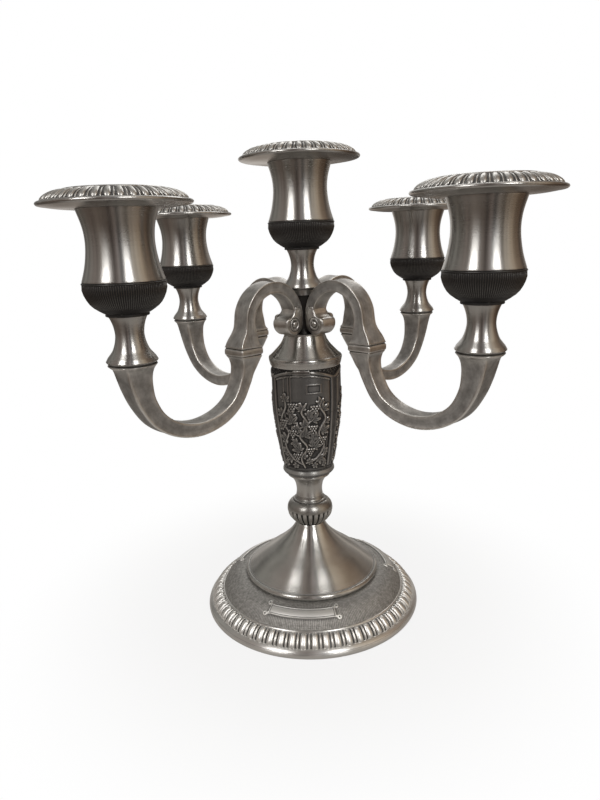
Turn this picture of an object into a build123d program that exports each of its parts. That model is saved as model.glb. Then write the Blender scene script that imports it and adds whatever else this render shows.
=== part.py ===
from build123d import *
import math
import os

# Five-light pewter candelabra. Millimetres; the origin is the centre of the foot's
# underside, +Z is up and the front is towards -Y. The four arms stand on the diagonals.

# ---- fits ----
rod_fit = 0.3          # play between the tie rod or a screw and the hole it passes through
thread_fit = 0.1       # play where a thread is engaged
pan_fit = 0.4          # play between a drip pan's collar and the sleeve's mouth

# ---- tie rod and its fasteners ----
rod_r = 3.0            # M6 tie rod that draws the whole stem together
rod_nut_flats = 10.0   # across the flats
rod_nut_h = 5.0
washer_r = 9.0
washer_t = 1.5
rod_tail = 1.6         # thread that shows past a nut

# ---- foot: a hollow casting, radii from the axis and heights from the table ----
foot_r = 66.6          # plain outer lip
foot_wall = 2.2
lip_top_r = 65.2       # where the lip turns down to its rounded edge
lip_top_z = 3.9
gadroon_out_r = 63.0   # outer edge of the gadrooned band
gadroon_out_z = 5.0
gadroon_in_r = 57.2    # inner edge of the gadrooned band
gadroon_in_z = 10.4
gadroon_crown = 1.5    # how far the band bulges past the straight line between its edges
hatch_out_r = 56.6     # outer edge of the hatched band, above a small step
hatch_out_z = 11.9
hatch_mid_r = 50.5
hatch_mid_z = 18.3
deck_r = 43.5          # flat deck that carries the trumpet
deck_z = 20.2
cartouche_count = 3
cartouche_angle = -98.0   # direction of the front cartouche, seen from above
cartouche_arc = 54.0      # how many degrees a cartouche covers
cartouche_w = 7.4
cartouche_r = 49.0        # radius of its middle line
cartouche_rise = 0.5      # how far its face stands above the hatching

# ---- trumpet: turned cone with a rolled edge ----
trumpet_r = 41.6
trumpet_bead = 1.7     # radius of the rolled edge
trumpet_cone_r = 39.0  # where the cone starts inside the rolled edge
trumpet_h = 32.4
trumpet_top_r = 8.4
trumpet_wall = 2.0
trumpet_head = 9.0     # solid length at the top of the cone

# ---- knop ----
knop_h = 18.3
knop_r = 14.0
knop_mid = 9.6         # height of its widest line above its base
knop_foot_r = 8.0
knop_head_r = 8.2
knop_shoulder_r = 13.0  # a point of the plain half's bulge
knop_shoulder_z = 12.6
knop_ring_r = 10.4     # edge where the bulge meets the flare above it
knop_ring_z = 15.0

# ---- stem collar: waisted spool with a ring moulding that carries the body ----
collar_h = 19.5
collar_waist_r = 7.4
collar_waist_z = 2.2
collar_flare_r = 13.8
collar_flare_z = 14.2
collar_ring_r = 15.8
collar_ring_h = 4.2

# ---- body: hollow tapering vase ----
body_h = 62.6
body_foot_r = 14.7
body_low_r = 17.7      # a third of the way up
body_belly_r = 20.3    # widest line
body_belly_z = 46.0
body_top_r = 20.2
body_wall = 2.6
body_floor = 5.0

# ---- shoulder cap ----
cap_h = 17.6
cap_band_r = 20.8
cap_bead_r = 21.6
cap_bead_z = 3.4
cap_shoulder_r = 20.0
cap_shoulder_z = 7.2
cap_waist_r = 14.3
cap_waist_z = 12.4
cap_top_r = 11.8
cap_spigot_h = 2.5
cap_spigot_fit = 0.15

# ---- hub spindle between the arms ----
hub_flats = 12.0       # across the four flats that the arms are soldered to
hub_corner = 3.4       # chamfer on its corners
hub_flange_t = 0.9
hub_cone_r = 7.6
hub_cone_h = 2.6
hub_head_r = 7.0
hub_head_h = 3.2
centre_rise = 24.8     # how far the centre seat stands above the outer seats

# ---- arms ----
arm_count = 4
arm_first = 45.0       # direction of the first arm
arm_reach = 113.0      # axis of an outer light from the stem's axis
strap_w = 10.8         # width of the arm's strap across its plane
strap_t = 6.2          # its thickness
arch_r = 21.0          # outer radius of the upper scroll
arch_z = 10.8          # height of the scroll's centre above the hub's base
roll_r = 6.2           # rolled end that rests on the hub's flange
roll_out = 13.9        # its centre from the stem's axis
band_w = 14.8          # square band between the scroll and the lower curve
band_top = -0.9        # its top, from the hub's base
band_h = 4.7
band_out = 46.5        # its centre from the stem's axis
bottom_drop = 37.9     # lowest point of the arm's centre line below the hub's base
bottom_out = 80.0      # that point's distance from the stem's axis
curve_t = 7.0          # thickness along the lower curve
curve_w = 10.4         # width along the lower curve
edge_r = 1.2           # softened edges of the lower curve
seat_r = 10.0
seat_h = 3.2
seat_rise = 1.0        # outer seats above the hub's base

# ---- lights: neck, bowl, sleeve and drip pan, heights from the seat ----
neck_h = 21.9
neck_ring_r = 11.8
neck_ring_z = 1.6
neck_foot_r = 10.4
neck_waist_r = 6.5
neck_waist_z = 13.6
neck_top_r = 8.7
bowl_h = 15.2
bowl_ledge_r = 9.8
bowl_ledge_h = 1.2
bowl_r = 18.7
nut_pocket_r = 7.0     # pocket in the centre bowl for the rod's nut
nut_pocket_h = 7.1
screw_pocket_r = 4.4   # pocket in an outer bowl for its screw's head
screw_pocket_h = 3.0
sleeve_h = 31.1
sleeve_foot_r = 18.2
sleeve_waist_r = 14.9
sleeve_waist_z = 16.7
sleeve_top_r = 17.6
socket_r = 11.4        # bore that takes a 22 mm candle
mouth_r = 13.4         # wider mouth that takes the drip pan's collar
mouth_depth = 5.0
pan_r = 33.2
pan_lip_z = 2.2        # height of the widest line above the sleeve's top
pan_lip_t = 1.0        # half thickness of the plain lip
pan_border_r = 30.9    # outer edge of the gadrooned border
pan_shoulder_r = 28.6  # a point of the border's bulge
pan_shoulder_z = 6.2
pan_brow_r = 25.2      # where the bulge levels out towards the crest
pan_brow_z = 7.7
pan_crest_r = 21.2
pan_crest_z = 8.1
pan_well_r = 18.0
pan_well_z = 2.4
pan_hole_r = 11.8
pan_collar_h = 4.0
screw_r = 2.0          # M4 screws that hold the outer lights
screw_head_r = 3.8
screw_head_h = 2.6
screw_grip = 8.5       # thread inside the arm

# ---- heights worked out from the stack ----
trumpet_z = deck_z
knop_z = trumpet_z + trumpet_h
collar_z = knop_z + knop_h
body_z = collar_z + collar_h
cap_z = body_z + body_h
hub_z = cap_z + cap_h
seat_z = hub_z + seat_rise
centre_z = seat_z + centre_rise
hub_h = centre_z - hub_z
rod_hole = rod_r + rod_fit
screw_hole = screw_r + rod_fit
arm_angles = [arm_first + k * 360 / arm_count for k in range(arm_count)]
arm_names = ["back_right", "back_left", "front_left", "front_right"]

os.makedirs("parts", exist_ok=True)


def save(piece, label):
    """Name one finished piece and write its STEP file."""
    piece.label = label
    export_step(piece, f"parts/{label}.step")


# ================= foot =================
# The outline runs up the outside, over the deck, and back along the inside of the shell.
with BuildPart() as foot:
    with BuildSketch(Plane.XZ):
        with BuildLine():
            crown_r = (gadroon_out_r + gadroon_in_r) / 2 + gadroon_crown * 0.7
            crown_z = (gadroon_out_z + gadroon_in_z) / 2 + gadroon_crown * 0.7
            Polyline((foot_r - foot_wall, 0), (foot_r - 0.6, 0))
            ThreePointArc((foot_r - 0.6, 0), (foot_r, 2.0), (lip_top_r, lip_top_z))
            Line((lip_top_r, lip_top_z), (gadroon_out_r, gadroon_out_z))
            ThreePointArc((gadroon_out_r, gadroon_out_z), (crown_r, crown_z), (gadroon_in_r, gadroon_in_z))
            Line((gadroon_in_r, gadroon_in_z), (hatch_out_r, hatch_out_z))
            ThreePointArc((hatch_out_r, hatch_out_z), (hatch_mid_r, hatch_mid_z), (deck_r, deck_z))
            Polyline((deck_r, deck_z), (rod_hole, deck_z), (rod_hole, deck_z - foot_wall))
            Line((rod_hole, deck_z - foot_wall), (deck_r - foot_wall / 2, deck_z - foot_wall))
            ThreePointArc(
                (deck_r - foot_wall / 2, deck_z - foot_wall),
                (hatch_mid_r - foot_wall * 0.6, hatch_mid_z - foot_wall),
                (hatch_out_r - foot_wall, hatch_out_z - foot_wall * 0.7),
            )
            Polyline(
                (hatch_out_r - foot_wall, hatch_out_z - foot_wall * 0.7),
                (gadroon_out_r - foot_wall, gadroon_out_z - foot_wall * 0.6),
                (foot_r - foot_wall, 0),
            )
        make_face()
    revolve(axis=Axis.Z)
# Raised cartouches follow the domed band: the band itself, lifted, kept inside a curved strip.
with BuildPart() as cartouche:
    with BuildSketch(Plane.XZ):
        with BuildLine():
            inner_r = cartouche_r - cartouche_w / 2
            outer_r = cartouche_r + cartouche_w / 2
            ThreePointArc(
                (hatch_out_r, hatch_out_z + cartouche_rise),
                (hatch_mid_r, hatch_mid_z + cartouche_rise),
                (deck_r, deck_z + cartouche_rise),
            )
            Polyline(
                (deck_r, deck_z + cartouche_rise), (deck_r, deck_z - foot_wall / 2),
                (hatch_out_r, hatch_out_z - foot_wall / 2), (hatch_out_r, hatch_out_z + cartouche_rise),
            )
        make_face()
    revolve(axis=Axis.Z, revolution_arc=cartouche_arc)
    with BuildSketch():
        Circle(outer_r)
        Circle(inner_r, mode=Mode.SUBTRACT)
    extrude(amount=deck_z + cartouche_rise + foot_wall, mode=Mode.INTERSECT)
with BuildPart() as base_foot:
    add(foot.part)
    for k in range(cartouche_count):
        turn = cartouche_angle - cartouche_arc / 2 + k * 360 / cartouche_count
        add(cartouche.part.rotate(Axis.Z, turn))
save(base_foot.part, "base_foot")

# ================= trumpet =================
with BuildPart() as trumpet:
    with BuildSketch(Plane.XZ.offset(0)):
        with BuildLine():
            bead_x = trumpet_r - trumpet_bead
            bead_y = trumpet_z + trumpet_bead
            cone_z = trumpet_z + 2 * trumpet_bead
            top_z = trumpet_z + trumpet_h
            Line((bead_x - trumpet_wall, trumpet_z), (bead_x, trumpet_z))
            ThreePointArc((bead_x, trumpet_z), (trumpet_r, bead_y), (bead_x, cone_z))
            Line((bead_x, cone_z), (trumpet_cone_r, cone_z + 0.1))
            Spline(
                (trumpet_cone_r, cone_z + 0.1), (28.0, trumpet_z + 13.6), (17.0, trumpet_z + 21.2),
                (10.4, trumpet_z + 28.3), (trumpet_top_r, top_z),
            )
            Polyline(
                (trumpet_top_r, top_z), (rod_hole, top_z), (rod_hole, top_z - trumpet_head),
                (trumpet_top_r + 1.4, top_z - trumpet_head),
            )
            Spline(
                (trumpet_top_r + 1.4, top_z - trumpet_head), (24.0, trumpet_z + 13.6),
                (bead_x - trumpet_wall, trumpet_z),
            )
        make_face()
    revolve(axis=Axis.Z)
save(trumpet.part, "trumpet")

# ================= knop =================
with BuildPart() as knop:
    with BuildSketch(Plane.XZ):
        with BuildLine():
            Line((rod_hole, knop_z), (knop_foot_r, knop_z))
            ThreePointArc(
                (knop_foot_r, knop_z), (knop_r - 1.6, knop_z + knop_mid * 0.45), (knop_r, knop_z + knop_mid)
            )
            ThreePointArc(
                (knop_r, knop_z + knop_mid), (knop_shoulder_r, knop_z + knop_shoulder_z),
                (knop_ring_r, knop_z + knop_ring_z),
            )
            Spline(
                (knop_ring_r, knop_z + knop_ring_z), (knop_head_r + 0.9, knop_z + knop_h - 1.8),
                (knop_head_r, knop_z + knop_h),
            )
            Polyline((knop_head_r, knop_z + knop_h), (rod_hole, knop_z + knop_h), (rod_hole, knop_z))
        make_face()
    revolve(axis=Axis.Z)
save(knop.part, "knop")

# ================= stem collar =================
with BuildPart() as stem_collar:
    with BuildSketch(Plane.XZ):
        with BuildLine():
            ring_low = collar_z + collar_h - collar_ring_h
            ring_top = collar_z + collar_h
            Line((rod_hole, collar_z), (knop_head_r, collar_z))
            Spline(
                (knop_head_r, collar_z), (collar_waist_r, collar_z + collar_waist_z),
                (collar_waist_r + 1.8, collar_z + 9.0), (collar_flare_r, collar_z + collar_flare_z),
            )
            Line((collar_flare_r, collar_z + collar_flare_z), (collar_flare_r + 0.4, ring_low))
            ThreePointArc(
                (collar_flare_r + 0.4, ring_low), (collar_ring_r, (ring_low + ring_top) / 2),
                (body_foot_r + 0.3, ring_top),
            )
            Polyline((body_foot_r + 0.3, ring_top), (rod_hole, ring_top), (rod_hole, collar_z))
        make_face()
    revolve(axis=Axis.Z)
save(stem_collar.part, "stem_collar")

# ================= body =================
with BuildPart() as body_vase:
    with BuildSketch(Plane.XZ):
        with BuildLine():
            body_top = body_z + body_h
            Line((rod_hole, body_z), (body_foot_r, body_z))
            Spline(
                (body_foot_r, body_z), (body_low_r, body_z + 18.0), (body_belly_r, body_z + body_belly_z),
                (body_top_r, body_top),
            )
            Polyline((body_top_r, body_top), (body_top_r - body_wall, body_top))
            Spline(
                (body_top_r - body_wall, body_top), (body_belly_r - body_wall, body_z + body_belly_z),
                (body_low_r - body_wall, body_z + 18.0), (body_foot_r - body_wall, body_z + body_floor),
            )
            Polyline(
                (body_foot_r - body_wall, body_z + body_floor), (rod_hole, body_z + body_floor),
                (rod_hole, body_z),
            )
        make_face()
    revolve(axis=Axis.Z)
save(body_vase.part, "body_vase")

# ================= shoulder cap =================
with BuildPart() as shoulder_cap:
    with BuildSketch(Plane.XZ):
        with BuildLine():
            spigot_r = body_top_r - body_wall - cap_spigot_fit
            Polyline(
                (rod_hole, cap_z + 2.0), (spigot_r - 2.0, cap_z + 2.0), (spigot_r - 2.0, cap_z - cap_spigot_h),
                (spigot_r, cap_z - cap_spigot_h), (spigot_r, cap_z), (cap_band_r, cap_z),
                (cap_band_r, cap_z + cap_bead_z - 1.6),
            )
            ThreePointArc(
                (cap_band_r, cap_z + cap_bead_z - 1.6), (cap_bead_r, cap_z + cap_bead_z),
                (cap_shoulder_r, cap_z + cap_shoulder_z),
            )
            Spline(
                (cap_shoulder_r, cap_z + cap_shoulder_z), (cap_waist_r, cap_z + cap_waist_z), (cap_top_r, cap_z + cap_h)
            )
            Polyline((cap_top_r, cap_z + cap_h), (rod_hole, cap_z + cap_h), (rod_hole, cap_z + 2.0))
        make_face()
    revolve(axis=Axis.Z)
save(shoulder_cap.part, "shoulder_cap")

# ================= hub spindle =================
with BuildPart() as hub_spindle:
    with BuildSketch(Plane.XY.offset(hub_z)):
        Circle(cap_top_r - 0.2)
    extrude(amount=hub_flange_t)
    with BuildSketch(Plane.XY.offset(hub_z)):
        Rectangle(hub_flats, hub_flats, rotation=arm_first)
        chamfer(vertices(), length=hub_corner)
    extrude(amount=hub_h)
    cone_base = Plane.XY.offset(hub_z + hub_flange_t)
    with Locations(cone_base.location):
        Cone(hub_cone_r, hub_flats / 2, hub_cone_h, align=(Align.CENTER, Align.CENTER, Align.MIN))
    with BuildSketch(Plane.XY.offset(centre_z - hub_head_h)):
        Circle(hub_head_r)
    extrude(amount=hub_head_h)
    with Locations((0, 0, hub_z)):
        Hole(rod_hole, depth=2 * hub_h)
save(hub_spindle.part, "hub_spindle")

# ================= arms =================
# An arm is drawn in the XZ plane, reaching out along +X, and turned to its place.
scroll_x = hub_flats / 2 + arch_r       # centre of the upper scroll
scroll_z = hub_z + arch_z
leg_in = scroll_x + arch_r - strap_t    # inner face of the scroll's outer leg
leg_out = scroll_x + arch_r
band_z = hub_z + band_top               # top of the square band
low_z = hub_z - bottom_drop
end_z = seat_z - seat_h

# Centre line of the lower curve, each point with the arm's thickness, width and edge radius.
lower_curve = [
    ((band_out, band_z - band_h), band_w - 1.6, band_w - 1.6, edge_r),
    ((band_out + 1.4, band_z - 11.6), curve_t + 1.4, curve_w + 0.4, edge_r),
    ((band_out + 3.6, band_z - 17.8), curve_t, curve_w, edge_r),
    ((band_out + 9.6, band_z - 27.6), curve_t - 0.5, curve_w, edge_r),
    ((bottom_out - 14.2, low_z + 2.9), curve_t - 0.3, curve_w, edge_r),
    ((bottom_out, low_z), curve_t, curve_w, edge_r),
    ((arm_reach - 19.6, low_z + 2.7), curve_t + 0.4, curve_w, edge_r * 1.5),
    ((arm_reach - 9.2, low_z + 9.6), curve_t + 1.2, curve_w + 0.2, edge_r * 2),
    ((arm_reach - 2.8, low_z + 20.4), curve_t + 2.8, curve_w + 1.4, edge_r * 3),
    ((arm_reach - 0.4, end_z - 6.0), curve_t + 5.4, curve_w + 3.6, edge_r * 5),
    ((arm_reach, end_z), 2 * seat_r - 0.2, 2 * seat_r - 0.2, seat_r - 0.2),
]
with BuildLine(Plane.XZ):
    centre_line = Spline(*[p[0] for p in lower_curve], tangents=[(0, -1), (0, 1)])

with BuildPart() as arm:
    # upper scroll with its rolled end at the hub
    with BuildSketch(Plane.XZ):
        with BuildLine():
            CenterArc((scroll_x, scroll_z), arch_r, 0, 180)
            Line((scroll_x - arch_r, scroll_z), (scroll_x - arch_r + strap_t, scroll_z))
            CenterArc((scroll_x, scroll_z), arch_r - strap_t, 0, 180)
            Line((leg_in, scroll_z), (leg_out, scroll_z))
        make_face()
        hub_turn = roll_r + 0.8
        turn_z = hub_z + hub_flange_t + hub_turn
        with Locations((hub_flats / 2 + hub_turn, turn_z)):
            Circle(hub_turn)
        with Locations((roll_out, hub_z + hub_flange_t + roll_r)):
            Circle(roll_r)
        with Locations((hub_flats / 2, turn_z)):
            Rectangle(strap_t, scroll_z - turn_z, align=(Align.MIN, Align.MIN))
    extrude(amount=strap_w / 2, both=True)
    # leg that flares from the scroll to the square band
    with BuildSketch(Plane.XY.offset(scroll_z)):
        with Locations((leg_in + strap_t / 2, 0)):
            Rectangle(strap_t, strap_w)
    with BuildSketch(Plane.XY.offset(scroll_z - 4.6)):
        with Locations((leg_in + strap_t / 2 + 0.3, 0)):
            Rectangle(strap_t + 1.2, strap_w + 0.4)
    with BuildSketch(Plane.XY.offset(band_z)):
        with Locations((band_out, 0)):
            Rectangle(band_w - 0.8, band_w - 0.8)
    loft()
    # square band with a shallow groove above and below it
    with Locations((band_out, 0, band_z - band_h / 2)):
        Box(band_w - 0.8, band_w - 0.8, band_h)
        Box(band_w, band_w, band_h - 1.6)
    # lower curve, lofted through its sections
    for k, (point, thick, wide, edge) in enumerate(lower_curve):
        along = centre_line.tangent_at(centre_line.param_at_point((point[0], 0, point[1])))
        with BuildSketch(Plane(origin=(point[0], 0, point[1]), x_dir=(0, 1, 0), z_dir=along)):
            RectangleRounded(wide, thick, edge)
    loft()
    # round seat for the light
    with BuildSketch(Plane.XY.offset(end_z)):
        with Locations((arm_reach, 0)):
            Circle(seat_r)
    extrude(amount=seat_h)
    with Locations((arm_reach, 0, seat_z)):
        Hole(screw_r + thread_fit, depth=screw_grip)

for name, angle in zip(arm_names, arm_angles):
    save(arm.part.rotate(Axis.Z, angle), f"arm_{name}")


# ================= lights =================
def neck(hole):
    """Turned neck with a ring foot, standing on Z = 0."""
    with BuildPart() as piece:
        with BuildSketch(Plane.XZ):
            with BuildLine():
                Line((hole, 0), (neck_foot_r, 0))
                ThreePointArc(
                    (neck_foot_r, 0), (neck_ring_r, neck_ring_z), (neck_ring_r - 0.6, neck_ring_z + 1.2)
                )
                Spline(
                    (neck_ring_r - 0.6, neck_ring_z + 1.2), (neck_waist_r + 1.2, 7.0),
                    (neck_waist_r, neck_waist_z), (neck_top_r, neck_h),
                )
                Polyline((neck_top_r, neck_h), (hole, neck_h), (hole, 0))
            make_face()
        revolve(axis=Axis.Z)
    return piece.part


def bowl(hole, pocket_r, pocket_h):
    """Round bowl that closes the socket, with a pocket for its fastener, standing on the neck."""
    with BuildPart() as piece:
        with BuildSketch(Plane.XZ):
            with BuildLine():
                low, top = neck_h, neck_h + bowl_h
                Polyline((hole, low), (bowl_ledge_r, low), (bowl_ledge_r, low + bowl_ledge_h))
                Spline(
                    (bowl_ledge_r, low + bowl_ledge_h), (bowl_r - 3.6, low + 5.0),
                    (bowl_r - 0.4, low + 11.2), (bowl_r, top),
                )
                Polyline(
                    (bowl_r, top), (pocket_r, top), (pocket_r, top - pocket_h), (hole, top - pocket_h), (hole, low)
                )
            make_face()
        revolve(axis=Axis.Z)
    return piece.part


def sleeve():
    """Waisted socket sleeve with the candle's bore, standing on the bowl."""
    with BuildPart() as piece:
        with BuildSketch(Plane.XZ):
            with BuildLine():
                low = neck_h + bowl_h
                top = low + sleeve_h
                Line((socket_r, low), (sleeve_foot_r, low))
                Spline(
                    (sleeve_foot_r, low), (sleeve_waist_r + 1.5, low + 6.2),
                    (sleeve_waist_r, low + sleeve_waist_z), (sleeve_waist_r + 0.9, low + 24.8),
                    (sleeve_top_r, top),
                )
                Polyline(
                    (sleeve_top_r, top), (mouth_r, top), (mouth_r, top - mouth_depth),
                    (socket_r, top - mouth_depth), (socket_r, low),
                )
            make_face()
        revolve(axis=Axis.Z)
    return piece.part


def pan():
    """Loose drip pan with a gadrooned border, its collar hanging in the sleeve's mouth."""
    with BuildPart() as piece:
        with BuildSketch(Plane.XZ):
            with BuildLine():
                low = neck_h + bowl_h + sleeve_h
                lip = low + pan_lip_z
                collar_r = mouth_r - pan_fit
                Polyline(
                    (pan_hole_r, low - pan_collar_h), (collar_r, low - pan_collar_h), (collar_r, low),
                    (sleeve_top_r + 2.4, low), (pan_r - 1.4, lip - pan_lip_t),
                )
                ThreePointArc((pan_r - 1.4, lip - pan_lip_t), (pan_r, lip), (pan_r - 1.4, lip + pan_lip_t))
                Line((pan_r - 1.4, lip + pan_lip_t), (pan_border_r, lip + pan_lip_t + 0.3))
                Spline(
                    (pan_border_r, lip + pan_lip_t + 0.3), (pan_shoulder_r, low + pan_shoulder_z),
                    (pan_brow_r, low + pan_brow_z), (pan_crest_r, low + pan_crest_z),
                )
                Spline(
                    (pan_crest_r, low + pan_crest_z), (pan_crest_r - 1.8, low + pan_crest_z - 1.4),
                    (pan_well_r, low + pan_well_z + 0.8), (pan_well_r - 2.0, low + pan_well_z),
                )
                Polyline(
                    (pan_well_r - 2.0, low + pan_well_z), (pan_hole_r, low + pan_well_z - 0.6),
                    (pan_hole_r, low - pan_collar_h),
                )
            make_face()
        revolve(axis=Axis.Z)
    return piece.part


centre_seat = Location((0, 0, centre_z))
outer_seats = [
    Location((arm_reach * math.cos(math.radians(a)), arm_reach * math.sin(math.radians(a)), seat_z))
    for a in arm_angles
]
centre_neck = neck(rod_hole)
centre_bowl = bowl(rod_hole, nut_pocket_r, nut_pocket_h)
outer_neck = neck(screw_hole)
outer_bowl = bowl(screw_hole, screw_pocket_r, screw_pocket_h)
plain_sleeve = sleeve()
plain_pan = pan()

save(centre_neck.moved(centre_seat), "neck_centre")
save(centre_bowl.moved(centre_seat), "bowl_centre")
save(plain_sleeve.moved(centre_seat), "sleeve_centre")
save(plain_pan.moved(centre_seat), "drip_pan_centre")
for name, seat in zip(arm_names, outer_seats):
    save(outer_neck.moved(seat), f"neck_{name}")
    save(outer_bowl.moved(seat), f"bowl_{name}")
    save(plain_sleeve.moved(seat), f"sleeve_{name}")
    save(plain_pan.moved(seat), f"drip_pan_{name}")

# ================= fasteners =================
socket_floor = neck_h + bowl_h
screw_floor = socket_floor - screw_pocket_h
with BuildPart() as light_screws:
    for seat in outer_seats:
        with Locations(seat * Location((0, 0, screw_floor))):
            Cylinder(screw_head_r, screw_head_h, align=(Align.CENTER, Align.CENTER, Align.MIN))
        with Locations(seat * Location((0, 0, screw_floor))):
            Cylinder(screw_r, screw_floor + screw_grip - 0.5, align=(Align.CENTER, Align.CENTER, Align.MAX))
        with Locations(seat * Location((0, 0, screw_floor + screw_head_h))):
            Box(2 * screw_head_r, 0.9, 2.2, mode=Mode.SUBTRACT)
save(light_screws.part, "light_screws")

washer_z = deck_z - foot_wall - washer_t
nut_z = washer_z - rod_nut_h
with BuildPart() as base_washer:
    with BuildSketch(Plane.XY.offset(washer_z)):
        Circle(washer_r)
        Circle(rod_hole, mode=Mode.SUBTRACT)
    extrude(amount=washer_t)
save(base_washer.part, "base_washer")


def rod_nut(z):
    """Hexagon nut on the tie rod with its underside at height z."""
    with BuildPart() as piece:
        with BuildSketch(Plane.XY.offset(z)):
            RegularPolygon(rod_nut_flats / 2, 6, major_radius=False)
            Circle(rod_r + thread_fit, mode=Mode.SUBTRACT)
        extrude(amount=rod_nut_h)
        chamfer(piece.faces().filter_by(GeomType.PLANE).filter_by(Axis.Z, reverse=True).edges()
                .filter_by(Axis.Z), length=0.4)
    return piece.part


top_nut_z = centre_z + socket_floor - nut_pocket_h
save(rod_nut(nut_z), "base_nut")
save(rod_nut(top_nut_z), "top_nut")
with BuildPart() as tie_rod:
    rod_low = nut_z - rod_tail
    with BuildSketch(Plane.XY.offset(rod_low)):
        Circle(rod_r)
    extrude(amount=top_nut_z + rod_nut_h + rod_tail - rod_low)
    chamfer(tie_rod.edges().filter_by(GeomType.CIRCLE), length=0.5)
save(tie_rod.part, "tie_rod")
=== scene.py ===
"""Tabletop candelabra in satin pewter: five lights on a turned stem and four cast arms.

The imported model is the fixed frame. Each sub-assembly below is a class that holds its sizes in
millimetres and builds its own pieces in the frame's place; metres appear only when a mesh is made.
"""

import logging  # noqa: E402
import math  # noqa: E402
from dataclasses import dataclass  # noqa: E402
from enum import Enum  # noqa: E402
from functools import cache  # noqa: E402
from typing import Callable, Optional, Sequence  # noqa: E402

import bmesh  # noqa: E402
import bpy  # noqa: E402
import numpy as np  # noqa: E402
from mathutils import Matrix, Vector  # noqa: E402

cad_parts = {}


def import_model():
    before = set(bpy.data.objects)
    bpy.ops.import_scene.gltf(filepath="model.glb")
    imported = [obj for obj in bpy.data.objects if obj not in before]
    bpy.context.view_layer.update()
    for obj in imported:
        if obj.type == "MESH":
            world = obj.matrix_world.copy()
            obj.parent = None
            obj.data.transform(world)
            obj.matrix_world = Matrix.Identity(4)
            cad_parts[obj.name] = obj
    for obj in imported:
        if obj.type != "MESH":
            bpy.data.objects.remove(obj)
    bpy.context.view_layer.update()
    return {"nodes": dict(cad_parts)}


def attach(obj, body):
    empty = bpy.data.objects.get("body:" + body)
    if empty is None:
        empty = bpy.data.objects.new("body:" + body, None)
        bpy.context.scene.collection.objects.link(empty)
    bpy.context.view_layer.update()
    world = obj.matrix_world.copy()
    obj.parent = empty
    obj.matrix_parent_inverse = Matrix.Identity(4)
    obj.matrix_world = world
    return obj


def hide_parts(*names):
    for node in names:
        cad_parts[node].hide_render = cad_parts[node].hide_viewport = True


LOG = logging.getLogger("candelabra")
MM = 0.001
FULL_TURN = 2 * math.pi
STAND = "candelabra"
FRONT = -90.0  # where a ring of copies starts, in degrees
ROD_HOLE = 3.3  # radius of the bore for the tie rod
SCREW_HOLE = 2.3  # radius of the bore for an outer light's screw
ARM_REACH = 113.0  # from the stem's axis to an outer light's
SEAT_Z = 171.6  # height of the seats of the outer lights
CENTRE_SEAT_Z = 196.4
Point = tuple[float, float]
Rgb = tuple[float, float, float]
Relief = Callable[[np.ndarray, np.ndarray, np.ndarray], tuple[np.ndarray, np.ndarray]]


class Slot(Enum):
    """Material slot names, listed with the light's pieces below; nothing here gives them to a piece."""

    CAST = "pewter_cast"
    TURNED = "pewter_turned"
    DARK = "pewter_dark"


class Place(Enum):
    """Where a light stands."""

    CENTRE = "centre"
    BACK_RIGHT = "back_right"
    BACK_LEFT = "back_left"
    FRONT_LEFT = "front_left"
    FRONT_RIGHT = "front_right"


ARM_TURN = {Place.BACK_RIGHT: 45.0, Place.BACK_LEFT: 135.0, Place.FRONT_LEFT: 225.0, Place.FRONT_RIGHT: 315.0}


# ---------------------------------------------------------------- outlines and meshes
def smooth_curve(points: Sequence[Sequence[float]], step: float) -> np.ndarray:
    """Draws a smooth line through points.

    Args:
        points: the points, each a row of two or more values; the first two are a place in mm.
        step: the distance between the points that come back, in mm.

    Returns:
        The line as rows of values, from the first point to the last.
    """
    p = np.array(points, float)
    ends = np.vstack([2 * p[0] - p[1], p, 2 * p[-1] - p[-2]])
    out = [p[:1]]
    for k in range(len(p) - 1):
        a, b, c, d = ends[k:k + 4]
        gap = np.sqrt(np.maximum(1e-6, [np.linalg.norm((v - u)[:2]) for u, v in ((a, b), (b, c), (c, d))]))
        m1 = gap[1] * ((b - a) / gap[0] - (c - a) / (gap[0] + gap[1]) + (c - b) / gap[1])
        m2 = gap[1] * ((c - b) / gap[1] - (d - b) / (gap[1] + gap[2]) + (d - c) / gap[2])
        count = max(2, int(math.ceil(np.linalg.norm((c - b)[:2]) / step)))
        t = (np.arange(1, count + 1) / count)[:, None]
        from_b, to_c = 2 * t**3 - 3 * t**2 + 1, 3 * t**2 - 2 * t**3
        out.append(from_b * b + (t**3 - 2 * t**2 + t) * m1 + to_c * c + (t**3 - t**2) * m2)
    return np.vstack(out)


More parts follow.
